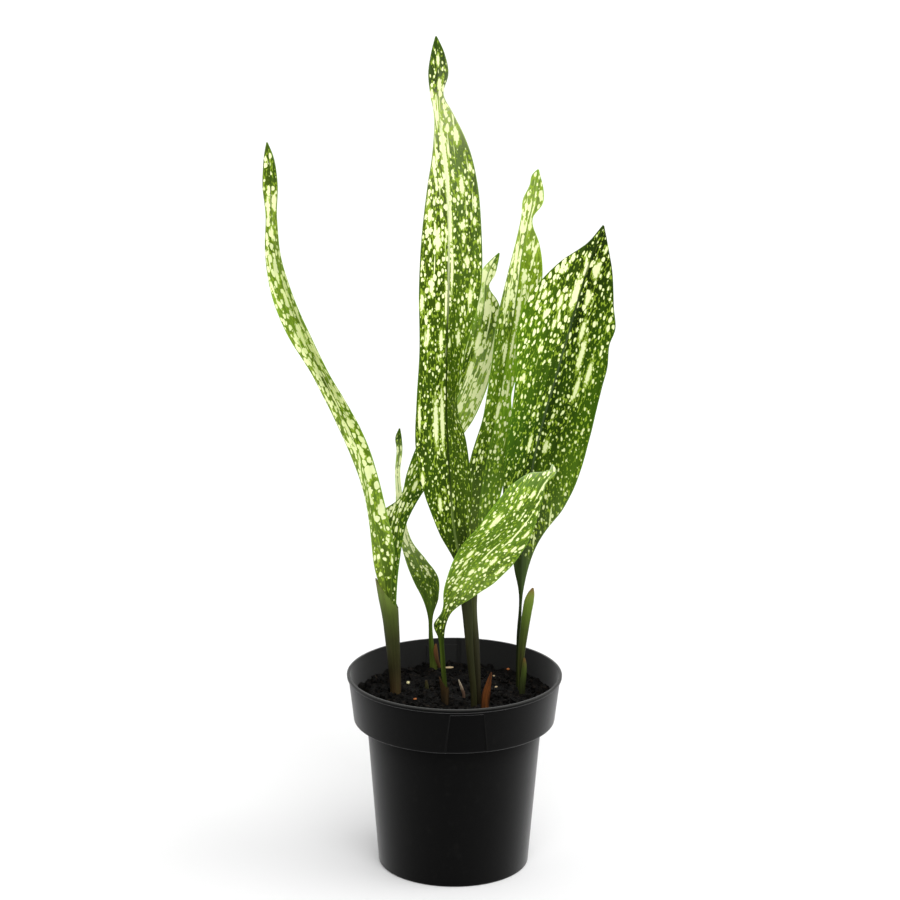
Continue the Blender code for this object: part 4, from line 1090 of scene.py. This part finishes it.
SMALL_LEFT = [
    (-18.5, 73, 152, 3.4, 3.4, 4.6, 0, 0, 0),
    (-20.7, 72, 176, 2.1, 2.1, 3.4, 0, 0, 0),
    (-21.3, 71, 200, 2.6, 2.4, 2.8, 0, 10, 10),
    (-22.5, 69, 218, 6.5, 9.0, 1.8, 0, 20, 20),
    (-27, 67, 235, 9.5, 14.0, 1.5, 0, 22, 22),
    (-33.5, 64.5, 252, 9.5, 9.5, 1.4, 0, 22, 22),
    (-41, 61, 271, 7.0, 4.0, 1.3, 0, 25, 25),
    (-47, 58.5, 294, 6.0, 4.0, 1.2, 0, 35, 35),
    (-49, 57, 315, 3.6, 3.0, 1.1, 10, 30, 30),
    (-50.5, 56, 338, 2.6, 2.6, 1.1, 25, 20, 20),
    (-48.5, 55.5, 357, 2.8, 2.8, 1.0, -10, 20, 20),
    (-49.5, 56, 367, 2.8, 2.8, 1.0, 5, 10, 10),
    (-48.5, 56, 375, 0.6, 0.6, 0.7, 0, 0, 0),
]
small_left_green = [
    (150, 0.07, 0.09, 0.015, 0), (170, 0.078, 0.125, 0.016, 0), (205, 0.058, 0.105, 0.012, 0),
    (235, 0.058, 0.11, 0.011, 0.1), (258, 0.15, 0.23, 0.05, 0.35), (285, 0.36, 0.46, 0.18, 0.85),
    (330, 0.38, 0.48, 0.22, 0.95), (352, 0.22, 0.31, 0.1, 0.6), (366, 0.04, 0.08, 0.008, 0.05),
]
add_blade(
    "small_left",
    SMALL_LEFT,
    7,
    left=small_left_green,
    right=small_left_green,
    columns=31,
    step=1.6,
    foot=136,
)


# Scales and shoots
# Bracts that stand up from the buried stem: a dry strip beside the small leaf, a rolled new leaf with its
# short scale beside the broad leaf, a torn brown scale at the centre stem, a slim pale spear and a stub.


def add_scale(name, node, slot, seed, stations, columns=21, step=0.8, foot=FOOT_MM, **husk):
    """A scale or shoot with a skin of its own, in place of a CAD piece."""
    add_leaf(name, node, stations, husk_skin(f"{name}_skin", **husk), slot, seed, columns, step, foot)


add_scale(
    "small_leaf_strip",
    "scale_small_leaf",
    "dry",
    8,
    [
        (-13.2, 70, 150, 1.3, 1.3, 1.2, 0, 0, 0),
        (-15.4, 69, 160, 2.0, 1.6, 0.9, 0, 25, 10),
        (-16.6, 69, 168, 2.0, 1.8, 0.8, 0, 20, 5),
        (-16.6, 69, 174, 0.7, 0.9, 0.7, 0, 0, 0),
    ],
    foot=136,
    low=(0.02, 0.008, 0.003),
    high=(0.13, 0.07, 0.025),
    streak=(0.012, 0.005, 0.002),
    stops=[(150, 0.03, 0.014, 0.005), (163, 0.08, 0.035, 0.012), (174, 0.17, 0.07, 0.02)],
    roughness=0.6,
    dry=1.0,
)

add_scale(
    "shoot_roll",
    "young_shoot",
    "blade",
    9,
    [
        (57.4, 19.8, 152, 2.2, 2.2, 4.2, 0, 0, 0),
        (57.8, 19.2, 180, 3.0, 3.0, 4.8, 0, 0, 0),
        (60.0, 18, 203, 3.7, 3.7, 5.2, 0, 0, 0),
        (62.4, 17, 222, 4.1, 4.1, 5.0, 0, 0, 0),
        (64.5, 16.6, 234, 3.9, 3.9, 3.8, 0, 0, 0),
        (66.2, 16.4, 240.5, 2.4, 2.4, 2.4, 0, 0, 0),
        (67.2, 16.3, 244, 0.7, 0.7, 0.8, 0, 0, 0),
    ],
    columns=33,
    step=1.5,
    low=(0.012, 0.018, 0.004),
    high=(0.11, 0.15, 0.016),
    streak=(0.024, 0.018, 0.005),
    stops=[
        (148, 0.018, 0.018, 0.006), (180, 0.022, 0.022, 0.006), (206, 0.04, 0.06, 0.008),
        (228, 0.088, 0.145, 0.013), (238, 0.15, 0.19, 0.03), (244, 0.16, 0.07, 0.025),
    ],
    roughness=0.42,
)

add_scale(
    "shoot_scale",
    "scale_young_shoot",
    "blade",
    10,
    [
        (58.9, 14.2, 152, 2.6, 2.6, 2.2, 0, 0, 0),
        (60.0, 13.8, 165, 2.8, 2.8, 1.8, 0, -25, -25),
        (60.6, 13.6, 175, 2.0, 2.0, 1.4, 0, -20, -20),
        (60.4, 13.8, 181, 0.7, 0.7, 0.8, 0, 0, 0),
    ],
    columns=25,
    step=1.0,
    low=(0.01, 0.013, 0.003),
    high=(0.06, 0.08, 0.016),
    streak=(0.02, 0.012, 0.004),
    stops=[
        (148, 0.012, 0.013, 0.004), (160, 0.022, 0.03, 0.006), (170, 0.045, 0.068, 0.01),
        (176, 0.07, 0.07, 0.014), (181, 0.13, 0.06, 0.015),
    ],
)

add_scale(
    "brown_torn_scale",
    "scale_brown",
    "dry",
    11,
    [
        (26.2, -29.5, 152, 3.6, 3.4, 1.6, 0, 0, 0),
        (27.2, -29.2, 164, 3.8, 3.8, 1.2, 0, 25, 20),
        (29.4, -29, 174, 2.4, 2.2, 1.0, 0, 20, 15),
        (31.4, -29, 183, 0.6, 0.7, 0.7, 0, 0, 0),
    ],
    columns=29,
    low=(0.01, 0.004, 0.002),
    high=(0.2, 0.06, 0.01),
    streak=(0.006, 0.003, 0.002),
    stops=[
        (148, 0.004, 0.003, 0.002), (157, 0.016, 0.006, 0.002), (168, 0.075, 0.023, 0.005),
        (183, 0.028, 0.012, 0.005),
    ],
    roughness=0.6,
    dry=1.0,
)

add_scale(
    "pale_spear",
    "scale_pale",
    "pale",
    12,
    [
        (8.2, -0.5, 151, 1.3, 1.3, 2.0, 0, 0, 0),
        (6.4, -0.8, 158, 1.3, 1.3, 1.8, 0, 0, 0),
        (3.6, -1, 166, 0.5, 0.5, 0.7, 0, 0, 0),
    ],
    low=(0.07, 0.04, 0.024),
    high=(0.26, 0.17, 0.12),
    streak=(0.06, 0.025, 0.012),
    stops=[
        (148, 0.05, 0.028, 0.018), (156, 0.11, 0.065, 0.042), (160, 0.3, 0.24, 0.17),
        (166, 0.42, 0.36, 0.26),
    ],
    roughness=0.6,
)

add_scale(
    "stub",
    "stub_green",
    "sheath",
    13,
    [
        (-24, 19, 150, 1.8, 1.8, 2.8, 0, 0, 0),
        (-24.2, 19, 154, 1.6, 1.6, 2.2, 0, 0, 0),
        (-24.4, 19, 158, 0.9, 0.9, 1.2, 0, 0, 0),
    ],
    step=0.6,
    low=(0.01, 0.009, 0.003),
    high=(0.045, 0.045, 0.014),
    streak=(0.016, 0.008, 0.003),
    stops=[(148, 0.014, 0.011, 0.004), (154, 0.03, 0.03, 0.009), (158, 0.04, 0.026, 0.009)],
)


# Floor, light and camera
# A plain pale floor that reaches past the edges of the view, a large soft light from above the camera, a
# weaker one from the right and a faint one from the left. The surroundings are brightest at the back and the
# right. The camera looks down a little, as in the photograph.

floor_skin = Shader("floor", Base_Color=(0.92, 0.92, 0.92, 1), Roughness=0.9, Specular_IOR_Level=0.1).material
floor_mesh = bpy.data.meshes.new("floor")
floor_corners = [(x, y, 0) for x, y in [(-12, -8), (12, -8), (12, 16), (-12, 16)]]
floor_mesh.from_pydata(floor_corners, [], [(0, 1, 2, 3)])
floor_mesh.materials.append(floor_skin)
floor = bpy.data.objects.new("floor", floor_mesh)
bpy.context.scene.collection.objects.link(floor)

LAMP_SPREAD_DEG = 60
LAMPS = [("key", 2.3, 56, 8), ("right", 1.5, 66, 80), ("left", 0.5, 66, -80)]
for name, energy, tilt_deg, turn_deg in LAMPS:
    lamp = bpy.data.lights.new(name, "SUN")
    lamp.energy = energy
    lamp.angle = math.radians(LAMP_SPREAD_DEG)
    light = bpy.data.objects.new(name, lamp)
    light.rotation_euler = (math.radians(tilt_deg), 0, math.radians(turn_deg))
    bpy.context.scene.collection.objects.link(light)

BRIGHT_SIDE = (0.5, 0.86, 0)
DIM, LIT = 0.15, 0.9
world = bpy.data.worlds.new("studio")
world.use_nodes = True
sky = world.node_tree
ways = sky.nodes.new("ShaderNodeTexCoord")
toward = sky.nodes.new("ShaderNodeVectorMath")
toward.operation = "DOT_PRODUCT"
toward.inputs[1].default_value = BRIGHT_SIDE
level = sky.nodes.new("ShaderNodeMapRange")
for socket, amount in zip(level.inputs[1:5], (-0.7, 0.5, DIM, LIT)):
    socket.default_value = amount
sky.nodes["Background"].inputs["Color"].default_value = (1, 1, 1, 1)
sky.links.new(ways.outputs["Generated"], toward.inputs[0])
sky.links.new(toward.outputs["Value"], level.inputs[0])
sky.links.new(level.outputs[0], sky.nodes["Background"].inputs["Strength"])
bpy.context.scene.world = world
bpy.context.scene.view_settings.view_transform = "Standard"

FOCAL_MM = 134.8
SENSOR_MM = 36
CAMERA_PLACE = (-0.005, -2.743, 1.159)
CAMERA_TILT_DEG = 73.99
CAMERA_ROLL_DEG = 0.343
lens = bpy.data.cameras.new("camera")
lens.lens = FOCAL_MM
lens.sensor_width = SENSOR_MM
camera = bpy.data.objects.new("camera", lens)
tilt = Euler((math.radians(CAMERA_TILT_DEG), 0, 0)).to_matrix()
roll = Matrix.Rotation(math.radians(CAMERA_ROLL_DEG), 3, "Z")
camera.matrix_world = Matrix.Translation(CAMERA_PLACE) @ (tilt @ roll).to_4x4()
bpy.context.scene.collection.objects.link(camera)
bpy.context.scene.camera = camera
